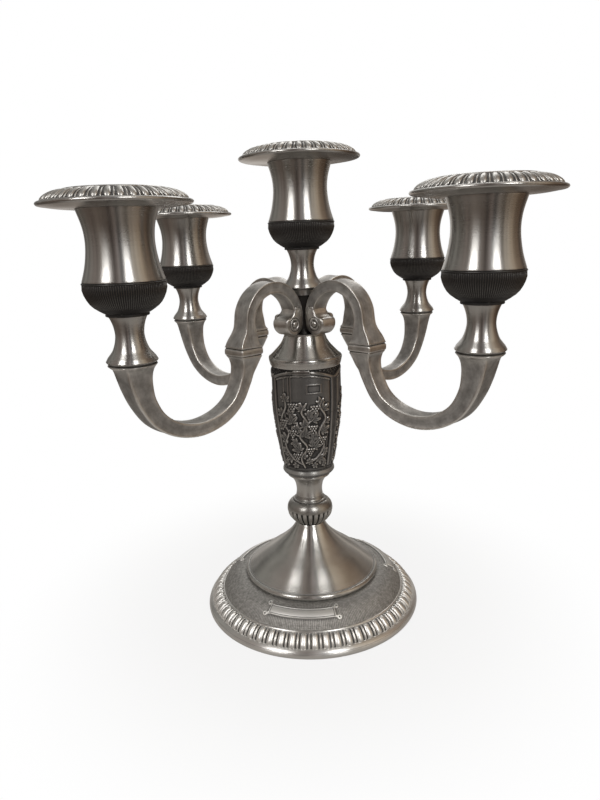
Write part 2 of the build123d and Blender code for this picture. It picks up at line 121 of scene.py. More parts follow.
class Outline:
    """An outline of radius and height in mm, drawn run by run, with each corner softened."""

    SMOOTH = 0.3  # a turn below this, in radians, is no corner

    def __init__(self, start: Point, soft: float = 0.25, step: float = 0.9) -> None:
        """Starts the outline.

        Args:
            start: the first point.
            soft: the size of a softened corner.
            step: the spacing on a curve.
        """
        self.soft, self.step = soft, step
        self.rows: list[np.ndarray] = [np.array([start], float)]
        self.dark: list[np.ndarray] = [np.zeros(1)]
        self.shade = 0.0

    def patina(self, amount: float) -> "Outline":
        """Sets how dark the points added from here on are, from 0 to 1."""
        self.shade = amount
        return self

    def _add(self, rows: np.ndarray) -> "Outline":
        """Adds rows after the last point.

        Args:
            rows: the points to add.

        Returns:
            The outline.
        """
        self.rows.append(rows)
        self.dark.append(np.full(len(rows), self.shade))
        return self

    def line(self, *points: Point) -> "Outline":
        """Adds straight runs.

        Args:
            points: where each run ends.

        Returns:
            The outline.
        """
        for point in points:
            self._add(np.array([point], float))
        return self

    def curve(self, *points: Point) -> "Outline":
        """Adds one smooth run through points, from the last one."""
        return self._add(smooth_curve([tuple(self.rows[-1][-1]), *points], self.step)[1:])

    def done(self) -> tuple[np.ndarray, np.ndarray]:
        """Joins the last point to the first and softens the corners.

        Returns:
            The points and how dark each one is.
        """
        p, dark = np.vstack(self.rows), np.concatenate(self.dark)
        out, shade = [], []
        for k, here in enumerate(p):
            back, on = p[k - 1] - here, p[(k + 1) % len(p)] - here
            lb, lo = np.linalg.norm(back), np.linalg.norm(on)
            turn = math.acos(max(-1.0, min(1.0, float(-back @ on / max(lb * lo, 1e-9)))))
            if turn < self.SMOOTH:
                out.append(here)
                shade.append(dark[k])
                continue
            reach = min(self.soft, 0.4 * lb, 0.4 * lo)
            first, last = here + back / lb * reach, here + on / lo * reach
            out += [first, (first + last) / 4 + here / 2, last]
            shade += [dark[k]] * 3
        return np.array(out), np.array(shade)


@dataclass
class Shell:
    """Closed surfaces in mm, with what the finishes read from them.

    points are the vertices and faces their indices; grain holds per vertex two slow directions and
    the fast one across the tool marks; dark is how much patina lies at each vertex, up to 1, with painted
    shade added in places; below 0 the metal is painted lighter, partly wear and partly painted highlight.
    """

    points: np.ndarray
    faces: list[tuple[int, ...]]
    grain: np.ndarray
    dark: np.ndarray

    def __add__(self, other: "Shell") -> "Shell":
        """Joins two shells.

        Args:
            other: the shell to add.

        Returns:
            One shell with the surfaces of both.
        """
        shift = len(self.points)
        faces = self.faces + [tuple(v + shift for v in face) for face in other.faces]
        return Shell(np.vstack([self.points, other.points]), faces, np.vstack([self.grain, other.grain]),
                     np.concatenate([self.dark, other.dark]))

    def moved(self, by: Sequence[float] = (0, 0, 0), turn: float = 0.0) -> "Shell":
        """Turns the shell about the upright axis, then moves it.

        Args:
            by: the distance to move.
            turn: the turn, in degrees.

        Returns:
            The new shell.
        """
        c, s = math.cos(math.radians(turn)), math.sin(math.radians(turn))
        spin = np.array([[c, -s, 0], [s, c, 0], [0, 0, 1]])
        return Shell(self.points @ spin.T + np.array(by, float), self.faces, self.grain, self.dark)

    def mapped(self, columns: Sequence[Sequence[float]], by: Sequence[float]) -> "Shell":
        """Returns the shell with its X, Y and Z laid along three given directions, then moved."""
        return Shell(self.points @ np.array(columns, float) + np.array(by, float), self.faces, self.grain, self.dark)

    def make(self, name: str) -> bpy.types.Object:
        """Makes one smooth mesh object in the frame's place, in metres.

        Args:
            name: the object's name.

        Returns:
            The object.
        """
        mesh = bpy.data.meshes.new(name)
        mesh.from_pydata((self.points * MM).tolist(), [], self.faces)
        mesh.attributes.new("grain", "FLOAT_VECTOR", "POINT").data.foreach_set(
            "vector", self.grain.astype(np.float32).ravel())
        mesh.attributes.new("patina", "FLOAT", "POINT").data.foreach_set("value", self.dark.astype(np.float32).ravel())
        work = bmesh.new()
        work.from_mesh(mesh)
        bmesh.ops.recalc_face_normals(work, faces=work.faces)
        work.to_mesh(mesh)
        work.free()
        mesh.polygons.foreach_set("use_smooth", [True] * len(mesh.polygons))
        piece = bpy.data.objects.new(name, mesh)
        bpy.context.scene.collection.objects.link(piece)
        return piece


def grid_faces(rows: int, columns: int, wrap_rows: bool) -> list[tuple[int, ...]]:
    """Lists the quads of a grid of vertices whose columns wrap round, numbered row by row.

    Args:
        rows: how many rows there are.
        columns: how many vertices are in a row.
        wrap_rows: whether the last row joins the first.

    Returns:
        The quads' vertex numbers.
    """
    faces = []
    for i in range(rows if wrap_rows else rows - 1):
        a, b = i * columns, (i + 1) % rows * columns
        faces += [(a + j, a + (j + 1) % columns, b + (j + 1) % columns, b + j) for j in range(columns)]
    return faces


def distances(path: np.ndarray) -> np.ndarray:
    """How far along a line each of its points is; the first two values of a row are its place."""
    return np.concatenate([[0], np.cumsum(np.linalg.norm(np.diff(path[:, :2], axis=0), axis=1))])


def directions(path: np.ndarray) -> np.ndarray:
    """Unit directions along a line; the first two values of a row are its place."""
    along = np.gradient(path[:, :2], axis=0)
    return along / np.linalg.norm(along, axis=1, keepdims=True)


def from_nearest(theta: np.ndarray, first: float, count: int) -> np.ndarray:
    """Angles from the nearest of count even places round the axis, the first at a turn in degrees."""
    share = FULL_TURN / count
    return (theta - math.radians(first) + share / 2) % share - share / 2


def capped(rings: np.ndarray, grain: np.ndarray, dark: np.ndarray,
           ends: Optional[tuple[Sequence[float], Sequence[float]]] = None) -> Shell:
    """Closes a tube of rings with a point at each end.

    Args:
        rings: rows of ring vertices, shape (rows, columns, 3).
        grain: tool mark directions, same shape as rings.
        dark: patina per vertex, shape (rows, columns).
        ends: the points that close the first and the last ring; the rings' middles if not given.

    Returns:
        The closed shell.
    """
    rows, columns = rings.shape[:2]
    count = rows * columns
    first, last = ends or (rings[0].mean(0), rings[-1].mean(0))
    points = np.vstack([rings.reshape(-1, 3), [first], [last]])
    faces = grid_faces(rows, columns, False)
    faces += [(count, (j + 1) % columns, j) for j in range(columns)]
    end = count - columns
    faces += [(count + 1, end + j, end + (j + 1) % columns) for j in range(columns)]
    grain = np.vstack([grain.reshape(-1, 3), grain[0].mean(0), grain[-1].mean(0)])
    return Shell(points, faces, grain, np.concatenate([dark.ravel(), [dark[0].mean()], [dark[-1].mean()]]))


def anticlockwise(p: np.ndarray) -> bool:
    """Whether a closed outline runs anticlockwise."""
    return bool(np.sum(p[:, 0] * np.roll(p[:, 1], -1) - np.roll(p[:, 0], -1) * p[:, 1]) > 0)


def outline_normals(p: np.ndarray) -> np.ndarray:
    """Outward normals of a closed outline.

    Args:
        p: the outline's points.

    Returns:
        One unit normal for each point.
    """
    along = np.roll(p, -1, 0) - np.roll(p, 1, 0)
    normal = np.stack([along[:, 1], -along[:, 0]], 1) * (1 if anticlockwise(p) else -1)
    return normal / np.maximum(np.linalg.norm(normal, axis=1, keepdims=True), 1e-9)


def turned(outline: Outline, segments: int = 144, relief: Optional[Relief] = None) -> Shell:
    """Turns a closed outline round the upright axis.

    Args:
        outline: the outline, with radius to the right and height up.
        segments: how many steps go round.
        relief: gives, for arrays of angle, radius and height, how far the surface stands out and
            how dark it is.

    Returns:
        The closed shell.
    """
    p, dark = outline.done()
    if not anticlockwise(p):
        p, dark = p[::-1], dark[::-1]
    radius, theta = np.meshgrid(p[:, 0], np.arange(segments) / segments * FULL_TURN, indexing="ij")
    height, shade = np.repeat(p[:, 1:2], segments, 1), np.repeat(dark[:, None], segments, 1)
    if relief:
        out, extra = relief(theta, radius, height)
        normal = outline_normals(p)
        radius, height = radius + out * normal[:, :1], height + out * normal[:, 1:]
        shade = np.clip(shade + extra, -1, 1)
    points = np.stack([radius * np.cos(theta), radius * np.sin(theta), height], -1)
    fast = np.repeat(distances(p)[:, None], segments, 1)
    grain = np.stack([8 * np.cos(theta), 8 * np.sin(theta), fast], -1)
    return Shell(points.reshape(-1, 3), grid_faces(len(p), segments, True), grain.reshape(-1, 3), shade.ravel())


def petal(path: Sequence[Sequence[float]], sunk: float = 0.5, steps: int = 9, top: int = 6) -> Shell:
    """Makes one raised bead that runs along a curve in the plane of radius and height.

    Args:
        path: rows of radius, height, half width and lift, in mm, from one end to the other.
        sunk: how far the bead reaches below the curve.
        steps: how many rings it has.
        top: how many steps cross its upper side.

    Returns:
        The closed shell, standing at angle 0.
    """
    spacing, tip, end_dark = 0.05, 0.2, 0.5
    rows = smooth_curve(path, spacing)
    rows = rows[np.linspace(0, len(rows) - 1, steps).astype(int)]
    if rows[-1, 1] < rows[0, 1]:
        rows = rows[::-1]
    along = directions(rows)
    normal = np.stack([along[:, 1], -along[:, 0]], 1)
    psi = np.concatenate([np.linspace(0, math.pi, top + 1), math.pi + np.array([0.3, 0.5, 0.7]) * math.pi])
    up = np.where(np.sin(psi) > -1e-9, np.sin(psi) * rows[:, 3:4], np.sin(psi) * sunk)
    side = np.cos(psi) * rows[:, 2:3]
    rings = np.stack([rows[:, :1] + up * normal[:, :1], side, rows[:, 1:2] + up * normal[:, 1:]], -1)
    # patina at the foot of the sides; the top is painted lighter (below 0), partly wear and partly painted highlight
    dark = np.clip(0.8 - 2.6 * np.maximum(np.sin(psi), 0), -0.6, 1)[None] * np.ones((steps, 1))
    dark[0], dark[-1] = end_dark, end_dark
    low, high = (row[:2] + way * tip for row, way in ((rows[0], -along[0]), (rows[-1], along[-1])))
    return capped(rings, rings, dark, ((low[0], 0, low[1]), (high[0], 0, high[1])))


# ---------------------------------------------------------------- nodes
class Graph:
    """A node tree that is filled by short calls. A value is a number, a colour or a socket to link."""

    def __init__(self, tree: bpy.types.NodeTree) -> None:
        """Wraps a tree."""
        self.tree = tree

    @classmethod
    def group(cls, label: str, kind: str, inputs: Sequence[tuple[str, str, object]], outputs: Sequence[tuple[str, str]]
              ) -> tuple["Graph", bpy.types.NodeOutputs]:
        """Starts a node group with named sockets.

        Args:
            label: the group's name.
            kind: "Shader" or "Geometry".
            inputs: name, kind and default of each input; None leaves the default alone.
            outputs: name and kind of each output.

        Returns:
            The graph and the sockets that its inputs arrive at.
        """
        tree = bpy.data.node_groups.new(label, kind + "NodeTree")
        for name, form, value in inputs:
            socket = tree.interface.new_socket(name, in_out="INPUT", socket_type="NodeSocket" + form)
            if value is not None:
                socket.default_value = value
        for name, form in outputs:
            tree.interface.new_socket(name, in_out="OUTPUT", socket_type="NodeSocket" + form)
        graph = cls(tree)
        return graph, graph.add("NodeGroupInput").outputs

    def finish(self, values: dict[str, object]) -> bpy.types.NodeTree:
        """Feeds the group's outputs and returns its tree."""
        self.add("NodeGroupOutput", values)
        return self.tree

    def feed(self, node: bpy.types.Node, values: dict[object, object]) -> None:
        """Sets or links a node's inputs.

        Args:
            node: the node.
            values: what goes into each input, by its name or number.
        """
        for socket, value in values.items():
            if isinstance(value, bpy.types.NodeSocket):
                self.tree.links.new(value, node.inputs[socket])
            else:
                node.inputs[socket].default_value = value

    def add(self, kind: str, values: Optional[dict[object, object]] = None, **settings: object) -> bpy.types.Node:
        """Adds a node.

        Args:
            kind: the node's type.
            values: what goes into its inputs, by name or number.
            settings: its own properties.

        Returns:
            The node.
        """
        node = self.tree.nodes.new(kind)
        for name, value in settings.items():
            setattr(node, name, value)
        self.feed(node, values or {})
        return node

    def math(self, kind: str, *values: object) -> bpy.types.NodeSocket:
        """Adds a Math node and returns its value."""
        return self.add("ShaderNodeMath", dict(enumerate(values)), operation=kind).outputs[0]

    def times(self, value: object, factor: object, plus: object = 0.0) -> bpy.types.NodeSocket:
        """Returns value times factor, plus a third value."""
        return self.math("MULTIPLY_ADD", value, factor, plus)

    def clamp(self, value: bpy.types.NodeSocket) -> bpy.types.NodeSocket:
        """Keeps a value between 0 and 1."""
        return self.add("ShaderNodeClamp", {0: value}).outputs[0]

    def mix(self, share: object, first: object, second: object, kind: str = "MIX") -> bpy.types.NodeSocket:
        """Mixes two colours by a share from 0 to 1."""
        return self.add("ShaderNodeMix", {0: share, 6: first, 7: second}, data_type="RGBA", blend_type=kind).outputs[2]

    def noise(self, vector: bpy.types.NodeSocket, scale: object, detail: float, rough: float = 0.5
              ) -> bpy.types.NodeSocket:
        """Adds a Noise Texture and returns its factor."""
        values = {"Vector": vector, "Scale": scale, "Detail": detail, "Roughness": rough}
        return self.add("ShaderNodeTexNoise", values).outputs["Fac"]


@cache
def copy_tree() -> bpy.types.NodeTree:
    """Geometry Nodes that copy one shape round an upright axis and dress the copies.

    Returns:
        The tree, with its sizes as named inputs.
    """
    graph, given = Graph.group(
        "Copies round an axis", "Geometry",
        (("Shape", "Object", None), ("Count", "Int", 4), ("First turn", "Float", 0.0), ("Centre", "Vector", (0, 0, 0)),
         ("Finish", "Material", None)), (("Geometry", "Geometry"),))
    shape = graph.add("GeometryNodeObjectInfo", {"Object": given["Shape"]})
    line = graph.add("GeometryNodeMeshLine", {"Count": given["Count"], "Offset": (0, 0, 0)})
    share = graph.math("DIVIDE", graph.add("GeometryNodeInputIndex").outputs[0], given["Count"])
    spin = graph.add("ShaderNodeCombineXYZ", {"Z": graph.times(share, FULL_TURN, given["First turn"])})
    copies = graph.add("GeometryNodeInstanceOnPoints", {
        "Points": line.outputs["Mesh"], "Instance": shape.outputs["Geometry"], "Rotation": spin.outputs[0]})
    moved = graph.add("GeometryNodeTransform", {"Geometry": copies.outputs[0], "Translation": given["Centre"]})
    real = graph.add("GeometryNodeRealizeInstances", {0: moved.outputs[0]})
    dress = graph.add("GeometryNodeSetMaterial", {"Geometry": real.outputs[0], "Material": given["Finish"]})
    return graph.finish({"Geometry": dress.outputs[0]})


def ring(name: str, shape: bpy.types.Object, count: int, finish: bpy.types.Material, first: float = 0.0,
         centre: Sequence[float] = (0, 0, 0)) -> bpy.types.Object:
    """Copies a shape round an upright axis with Geometry Nodes and returns the plain mesh.

    Args:
        name: the piece's name.
        shape: the object to copy; it stays, and the caller removes it with discard().
        count: how many copies go round.
        finish: the copies' material.
        first: the first copy's turn, in degrees.
        centre: where the axis stands, in mm.

    Returns:
        The new object, with no modifier.
    """
    host = bpy.data.objects.new(name, bpy.data.meshes.new(name))
    bpy.context.scene.collection.objects.link(host)
    modifier = host.modifiers.new("Copies", "NODES")
    modifier.node_group = copy_tree()
    values = {"Shape": shape, "Count": count, "First turn": math.radians(first),
              "Centre": tuple(v * MM for v in centre), "Finish": finish}
    for item in modifier.node_group.interface.items_tree:
        if item.in_out == "INPUT":
            modifier[item.identifier] = values[item.name]
    graph = bpy.context.evaluated_depsgraph_get()
    mesh = bpy.data.meshes.new_from_object(host.evaluated_get(graph), preserve_all_data_layers=True, depsgraph=graph)
    host.modifiers.clear()
    host.data = mesh
    mesh.name = name
    return host


def discard(piece: bpy.types.Object) -> None:
    """Removes a shape that was only copied."""
    bpy.data.objects.remove(piece, do_unlink=True)


# ---------------------------------------------------------------- finishes
@cache
def tool_marks() -> bpy.types.NodeTree:
    """Fine parallel tool marks that follow the grain attribute.

    Returns:
        The group, which puts out the height of the marks and their streaks.
    """
    graph, given = Graph.group(
        "Tool marks", "Shader",
        (("Grain", "Vector", (0, 0, 0)), ("Slow", "Float", 0.1), ("Fine", "Float", 4.0), ("Bands", "Float", 0.35)),
        (("Height", "Float"), ("Streak", "Float")))
    part = graph.add("ShaderNodeSeparateXYZ", {0: given["Grain"]}).outputs
    whole = graph.add("ShaderNodeCombineXYZ", {
        "X": graph.math("MULTIPLY", part["X"], given["Slow"]), "Y": graph.math("MULTIPLY", part["Y"], given["Slow"]),
        "Z": part["Z"]}).outputs[0]
    fine = graph.noise(whole, given["Fine"], 2.0, 0.6)
    bands = graph.noise(whole, given["Bands"], 2.0)
    half = graph.math("MULTIPLY", bands, 0.5)
    return graph.finish({"Height": fine, "Streak": graph.times(fine, 0.5, half)})


@cache
def recess_patina() -> bpy.types.NodeTree:
    """Dark patina that gathers in recesses and is rubbed off raised edges.

    Below 0 the patina paints the metal lighter, partly wear and partly painted highlight.

    Returns:
        The group, which puts out the colour and how much patina there is.
    """
    graph, given = Graph.group(
        "Patina in recesses", "Shader",
        (("Patina", "Float", 0.0), ("Metal", "Color", (0.5, 0.5, 0.5, 1)), ("Rubbed", "Color", (0.7, 0.7, 0.7, 1)),
         ("Oxide", "Color", (0.05, 0.05, 0.05, 1)), ("Everywhere", "Float", 0.0), ("Edge", "Float", 0.3),
         ("Hollow", "Float", 0.4)),
        (("Color", "Color"), ("Mask", "Float")))
    cloud = graph.noise(graph.add("ShaderNodeTexCoord").outputs["Object"], 320.0, 4.0, 0.6)
    point = graph.add("ShaderNodeNewGeometry").outputs["Pointiness"]
    hollow = graph.math("MULTIPLY", graph.math("SUBTRACT", 0.49, point), graph.math("MULTIPLY", given["Hollow"], 30.0))
    mask = graph.math("ADD", given["Patina"], graph.math("MAXIMUM", hollow, 0.0))
    mask = graph.math("MULTIPLY", graph.math("ADD", mask, given["Everywhere"]), graph.times(cloud, 0.7, 0.65))
    edge = graph.math("MULTIPLY", graph.math("SUBTRACT", point, 0.515), graph.math("MULTIPLY", given["Edge"], 40.0))
    # patina below 0 paints the metal lighter: partly wear, partly painted highlight
    rubbed = graph.math("MAXIMUM", graph.math("MULTIPLY", given["Patina"], -1.0), 0.0)
    worn = graph.clamp(graph.math("ADD", edge, rubbed))
    mask = graph.clamp(graph.math("SUBTRACT", mask, graph.math("MULTIPLY", worn, 0.8)))
    bare = graph.mix(worn, given["Metal"], given["Rubbed"])
    return graph.finish({"Color": graph.mix(mask, bare, given["Oxide"]), "Mask": mask})


@cache
def handling() -> bpy.types.NodeTree:
    """Soft smudges and casting unevenness on Object coordinates.

    Returns:
        The group, which puts out the smudges and the height of the pits.
    """
    graph, given = Graph.group("Handling", "Shader", (("Size", "Float", 25.0), ("Pits", "Float", 900.0)),
                               (("Smudge", "Float"), ("Height", "Float")))
    place = graph.add("ShaderNodeTexCoord").outputs["Object"]
    return graph.finish({"Smudge": graph.noise(place, given["Size"], 4.0, 0.6),
                         "Height": graph.noise(place, given["Pits"], 3.0, 0.6)})


@dataclass(frozen=True)
class Finish:
    """One metal finish: its colours, its gloss and the marks that its making left.

    Lengths are in mm; colours are linear.
    """

    name: str
    metal: Rgb
    rubbed: Rgb = (0.66, 0.645, 0.61)
    oxide: Rgb = (0.035, 0.032, 0.03)
    rough: float = 0.3
    rough_spread: float = 0.1
    drawn: float = 0.0
    drawn_turn: float = 0.25
    everywhere: float = 0.0
    edge: float = 0.3
    hollow: float = 0.3
    slow: float = 0.02
    fine: float = 5.0
    bands: float = 0.5
    mark_depth: float = 0.01
    pit_depth: float = 0.0
    pits: float = 900.0
    smudge: float = 25.0
    tint: float = 0.08

    def build(self) -> bpy.types.Material:
        """Builds the material.

        Returns:
            The material.
        """
        material = bpy.data.materials.new(self.name)
        material.use_nodes = True
        graph = Graph(material.node_tree)
        grain, patina = (graph.add("ShaderNodeAttribute", attribute_name=name).outputs for name in ("grain", "patina"))
        marks = graph.add("ShaderNodeGroup", {
            "Grain": grain["Vector"], "Slow": self.slow, "Fine": self.fine, "Bands": self.bands},
            node_tree=tool_marks()).outputs
        hand = graph.add("ShaderNodeGroup", {"Size": self.smudge, "Pits": self.pits}, node_tree=handling()).outputs
        streak = graph.times(marks["Streak"], self.tint, 1 - self.tint / 2)
        level = graph.math("MULTIPLY", streak, graph.times(hand["Smudge"], self.tint * 2, 1 - self.tint))
        tone = graph.add("ShaderNodeVectorMath", {0: self.metal, "Scale": level}, operation="SCALE")
        recess = graph.add("ShaderNodeGroup", {
            "Patina": patina["Fac"], "Metal": tone.outputs[0], "Rubbed": (*self.rubbed, 1), "Oxide": (*self.oxide, 1),
            "Edge": self.edge, "Everywhere": self.everywhere, "Hollow": self.hollow},
            node_tree=recess_patina()).outputs
        rough = graph.times(marks["Streak"], self.rough_spread, self.rough - self.rough_spread)
        rough = graph.times(hand["Smudge"], self.rough_spread, rough)
        height = graph.math("MULTIPLY", marks["Height"], self.mark_depth)
        bump = graph.add("ShaderNodeBump", {
            "Height": graph.times(hand["Height"], self.pit_depth, height), "Distance": MM})
        graph.feed(graph.tree.nodes["Principled BSDF"], {
            "Anisotropic": self.drawn, "Anisotropic Rotation": self.drawn_turn, "Base Color": recess["Color"],
            "Roughness": graph.times(recess["Mask"], 0.3, rough), "Metallic": graph.times(recess["Mask"], -0.55, 1.0),
            "Normal": bump.outputs["Normal"]})
        return material


FINISHES = {
    "turned": Finish("Turned pewter", (0.42, 0.41, 0.39), rubbed=(0.55, 0.54, 0.515), rough=0.28, rough_spread=0.05,
                     drawn=0.84, edge=0.1, hollow=0.1, fine=3.5, mark_depth=0.0012, tint=0.2),
    "collar": Finish("Turned stem collar", (0.5, 0.49, 0.465), rubbed=(0.6, 0.59, 0.56), rough=0.3, rough_spread=0.05,
                     drawn=0.84, edge=0.1, hollow=0.1, fine=3.0, mark_depth=0.0012, tint=0.2),
    "bright": Finish("Burnished pewter", (0.66, 0.65, 0.625), rubbed=(0.7, 0.69, 0.66), rough=0.31, rough_spread=0.12,
                     drawn=0.85, edge=0.1, hollow=0.1, fine=3.0, bands=0.9, mark_depth=0.005),
    "spun": Finish("Spun pewter", (0.48, 0.47, 0.445), rubbed=(0.6, 0.59, 0.56), rough=0.24, rough_spread=0.1,
                   drawn=0.86, edge=0.1, hollow=0.1, fine=3.6, bands=0.6, mark_depth=0.004, tint=0.24, smudge=60.0),
    "rubbed": Finish("Rubbed gadroons", (0.6, 0.59, 0.56), rubbed=(0.76, 0.75, 0.72), oxide=(0.15, 0.144, 0.132),
                     rough=0.4, edge=0.2, hollow=0.3, pit_depth=0.03, mark_depth=0.0, tint=0.15, smudge=150.0),
    "cast_turned": Finish("Turned cast pewter", (0.33, 0.32, 0.30), rough=0.33, drawn=0.5, edge=0.3, hollow=0.3,
                          pit_depth=0.01),
    "plate": Finish("Polished plate", (0.64, 0.63, 0.60), rough=0.42, edge=0.3, hollow=0.4, pit_depth=0.02,
                    mark_depth=0.0),
    "cast": Finish("Cast pewter", (0.51, 0.49, 0.46), oxide=(0.065, 0.056, 0.047), rough=0.33, rough_spread=0.16,
                   edge=0.4, hollow=0.5, pit_depth=0.13, mark_depth=0.05, fine=1.3, bands=0.6, tint=0.8, smudge=200.0),
    "ornament": Finish("Cast ornament", (0.25, 0.243, 0.23), rubbed=(0.5, 0.49, 0.465), oxide=(0.04, 0.037, 0.034),
                       rough=0.36, edge=0.2, hollow=0.3, pit_depth=0.015, mark_depth=0.0),
    "hatched": Finish("Hatched pewter", (0.36, 0.35, 0.33), rough=0.5, edge=0.0, hollow=0.0, everywhere=0.02,
                      pit_depth=0.4, pits=1300.0, mark_depth=0.04, tint=0.9, smudge=650.0),
    "dark": Finish("Patinated pewter", (0.22, 0.213, 0.203), rubbed=(0.58, 0.565, 0.54), oxide=(0.02, 0.018, 0.017),
                   rough=0.29, drawn=0.7, everywhere=0.03, edge=0.5, hollow=0.45, pit_depth=0.04, mark_depth=0.0,
                   tint=0.25, smudge=120.0),
    # the hub's near-black colour is painted shade: the shade that falls on the hub among the arms
    "hub": Finish("Hub pewter painted dark for shade", (0.05, 0.048, 0.045), rough=0.4, edge=0.2, hollow=0.2, pit_depth=0.02),
    "bowl": Finish("Patinated fluting", (0.055, 0.053, 0.051), rubbed=(0.13, 0.126, 0.12), oxide=(0.01, 0.009, 0.009),
                   rough=0.34, edge=0.3, hollow=0.2, pit_depth=0.01, mark_depth=0.0),
    "steel": Finish("Plated steel", (0.38, 0.38, 0.39), rough=0.35, edge=0.2, hollow=0.1, pit_depth=0.01,
                    mark_depth=0.0),
}


@cache
def metal(finish: str) -> bpy.types.Material:
    """The material of a finish in FINISHES, built when it is first asked for."""
    return FINISHES[finish].build()


def settle(piece: bpy.types.Object, finish: str, body: str = STAND, nodes: Sequence[str] = ()) -> None:
    """Dresses a finished piece, places it on its body and hides the CAD nodes it stands for.

    Args:
        piece: the finished mesh object.
        finish: a name in FINISHES.
        body: the CAD body it rides on.
        nodes: the CAD nodes it replaces.
    """
    piece.data.materials.clear()
    piece.data.materials.append(metal(finish))
    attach(piece, body)
    if nodes:
        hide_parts(*nodes)
    LOG.info("%s on %s: %d faces", piece.name, body, len(piece.data.polygons))


# ---------------------------------------------------------------- foot and stem
@dataclass
class Foot:
    """Hollow round foot: plain lip, gadrooned band, hatched dome and three plates.

    A plate is a strip with a hollow at each end, and at each corner a horn that runs out to a curl
    with an eye; their places are measured back from the plate's end. They are shaped in a sheet that
    reaches plate_reach up and down the dome and sinks by plate_foot beside the plate, whose edge is
    plate_soft wide. gadroon and bar are rows of share of the way up, half width and lift; hatch_from
    is the radius and the height where the hatching starts.
    """

    beads: int = 60
    hatch_ridges: int = 330
    plates: int = 3
    plate_turn: float = -98.0
    dome: tuple[Point, ...] = ((56.3, 11.7), (54.6, 14.4), (50.5, 18.1), (46.8, 19.7), (43.5, 20.2))
    band: tuple[Point, ...] = ((63.5, 4.3), (61.9, 7.4), (59.8, 9.3), (57.3, 10.4))
    plate_arc: float = 50.5
    plate_r: float = 50.2
    plate_rise: float = 0.7
    plate_half: float = 3.1
    plate_foot: float = 0.35
    plate_soft: float = 0.35
    plate_sunk: float = 0.9
    plate_reach: float = 5.0
    strip_end: float = 2.6
    hollow_at: float = 0.4
    hollow_r: float = 2.3
    horn_span: Point = (4.2, 1.3)
    horn_half: float = 0.95
    curl_at: Point = (1.2, 3.4)
    curl_r: float = 1.6
    eye_r: float = 0.45
    hatch_from: Point = (42.6, 11.9)
    hatch_rise: float = 0.07
    gadroon: tuple[tuple[float, float, float], ...] = (
        (0.0, 0.9, 0.5), (0.06, 1.5, 0.95), (0.2, 1.8, 1.2), (0.8, 1.9, 1.25), (0.94, 1.65, 1.0), (1.0, 0.95, 0.5))
    bar: tuple[tuple[float, float, float], ...] = (
        (0.0, 0.3, 0.3), (0.1, 0.6, 0.95), (0.5, 0.75, 1.1), (0.9, 0.7, 1.0), (1.0, 0.3, 0.3))

    def rim(self) -> bpy.types.Object:
        """The lip, the bed of the gadroons and the fine line above them.

        Returns:
            The turned piece.
        """
        line = Outline((64.4, 0.0), soft=0.2)
        line.line((65.9, 0.0)).curve((66.5, 1.0), (66.5, 2.2), (66.1, 3.2)).patina(0.5).line((65.9, 3.25)).patina(0.0)
        line.line((65.8, 3.5)).curve((64.6, 4.5), (63.3, 5.0)).patina(0.7).line((63.1, 4.6), (62.7, 4.6))
        line.curve((61.2, 6.9), (59.5, 8.4), (57.9, 9.2)).patina(0.7).line((57.4, 10.2)).patina(0.0)
        line.line((57.3, 10.9)).curve((57.0, 11.4), (56.5, 11.6)).patina(0.8)
        line.line((56.2, 11.5), (55.8, 11.6), (54.6, 10.2), (60.8, 3.7))
        return turned(line, 240).make("foot_rim")

    def hatching(self, theta: np.ndarray, radius: np.ndarray, height: np.ndarray) -> tuple[np.ndarray, np.ndarray]:
        """Fine radial ridges on the dome's upper side, with a painted shadow round the plates.

        Args:
            theta: angle of each point, in radians.
            radius: its distance from the axis.
            height: its height.

        Returns:
            How far the surface stands out and how dark it is.
        """
        on = (radius > self.hatch_from[0]) & (height > self.hatch_from[1])
        ridge = np.cos(theta * self.hatch_ridges)
        beside = from_nearest(theta, self.plate_turn, self.plates)
        path = smooth_curve(self.dome, 0.1)
        run = distances(path)
        span = np.interp(-radius, -path[:, 0], run) - np.interp(-self.plate_r, -path[:, 0], run)
        half = math.radians(self.plate_arc / 2) * self.plate_r
        # painted shadow: the hatching is darkened just round each plate, as if the plate shaded it
        near = np.maximum(np.abs(beside) * self.plate_r - half + 2.7, np.abs(span) - 3.2)
        shade = 0.14 - 0.3 * ridge + 0.55 * np.clip(1.3 - near / 0.8, 0, 1)
        return np.where(on, self.hatch_rise * ridge, 0.0), np.where(on, shade, 0.0)

    def shell(self) -> bpy.types.Object:
        """The hatched dome with the deck under the trumpet.

        Returns:
            The turned piece.
        """
        line = Outline((56.3, 11.0), soft=0.1, step=0.8).line(self.dome[0])
        line.curve(*self.dome[1:]).line((ROD_HOLE, 20.2), (ROD_HOLE, 18.0), (42.4, 18.0))
        line.curve((49.3, 16.1), (54.4, 10.4))
        return turned(line, self.hatch_ridges * 4, self.hatching).make("foot_dome")

    def bead(self, shape: Sequence[tuple[float, float, float]], steps: int, top: int) -> Shell:
        """One bead of the gadrooned band.

        Args:
            shape: rows of share of the way up, half width and lift.
            steps: how many rings it has.
            top: how many steps cross its upper side.

        Returns:
            The bead, standing at angle 0.
        """
        path = smooth_curve(self.band[::-1], 0.1)
        rows = [(*path[int(t * (len(path) - 1))], wide, lift) for t, wide, lift in shape]
        return petal(rows, sunk=1.0, steps=steps, top=top)

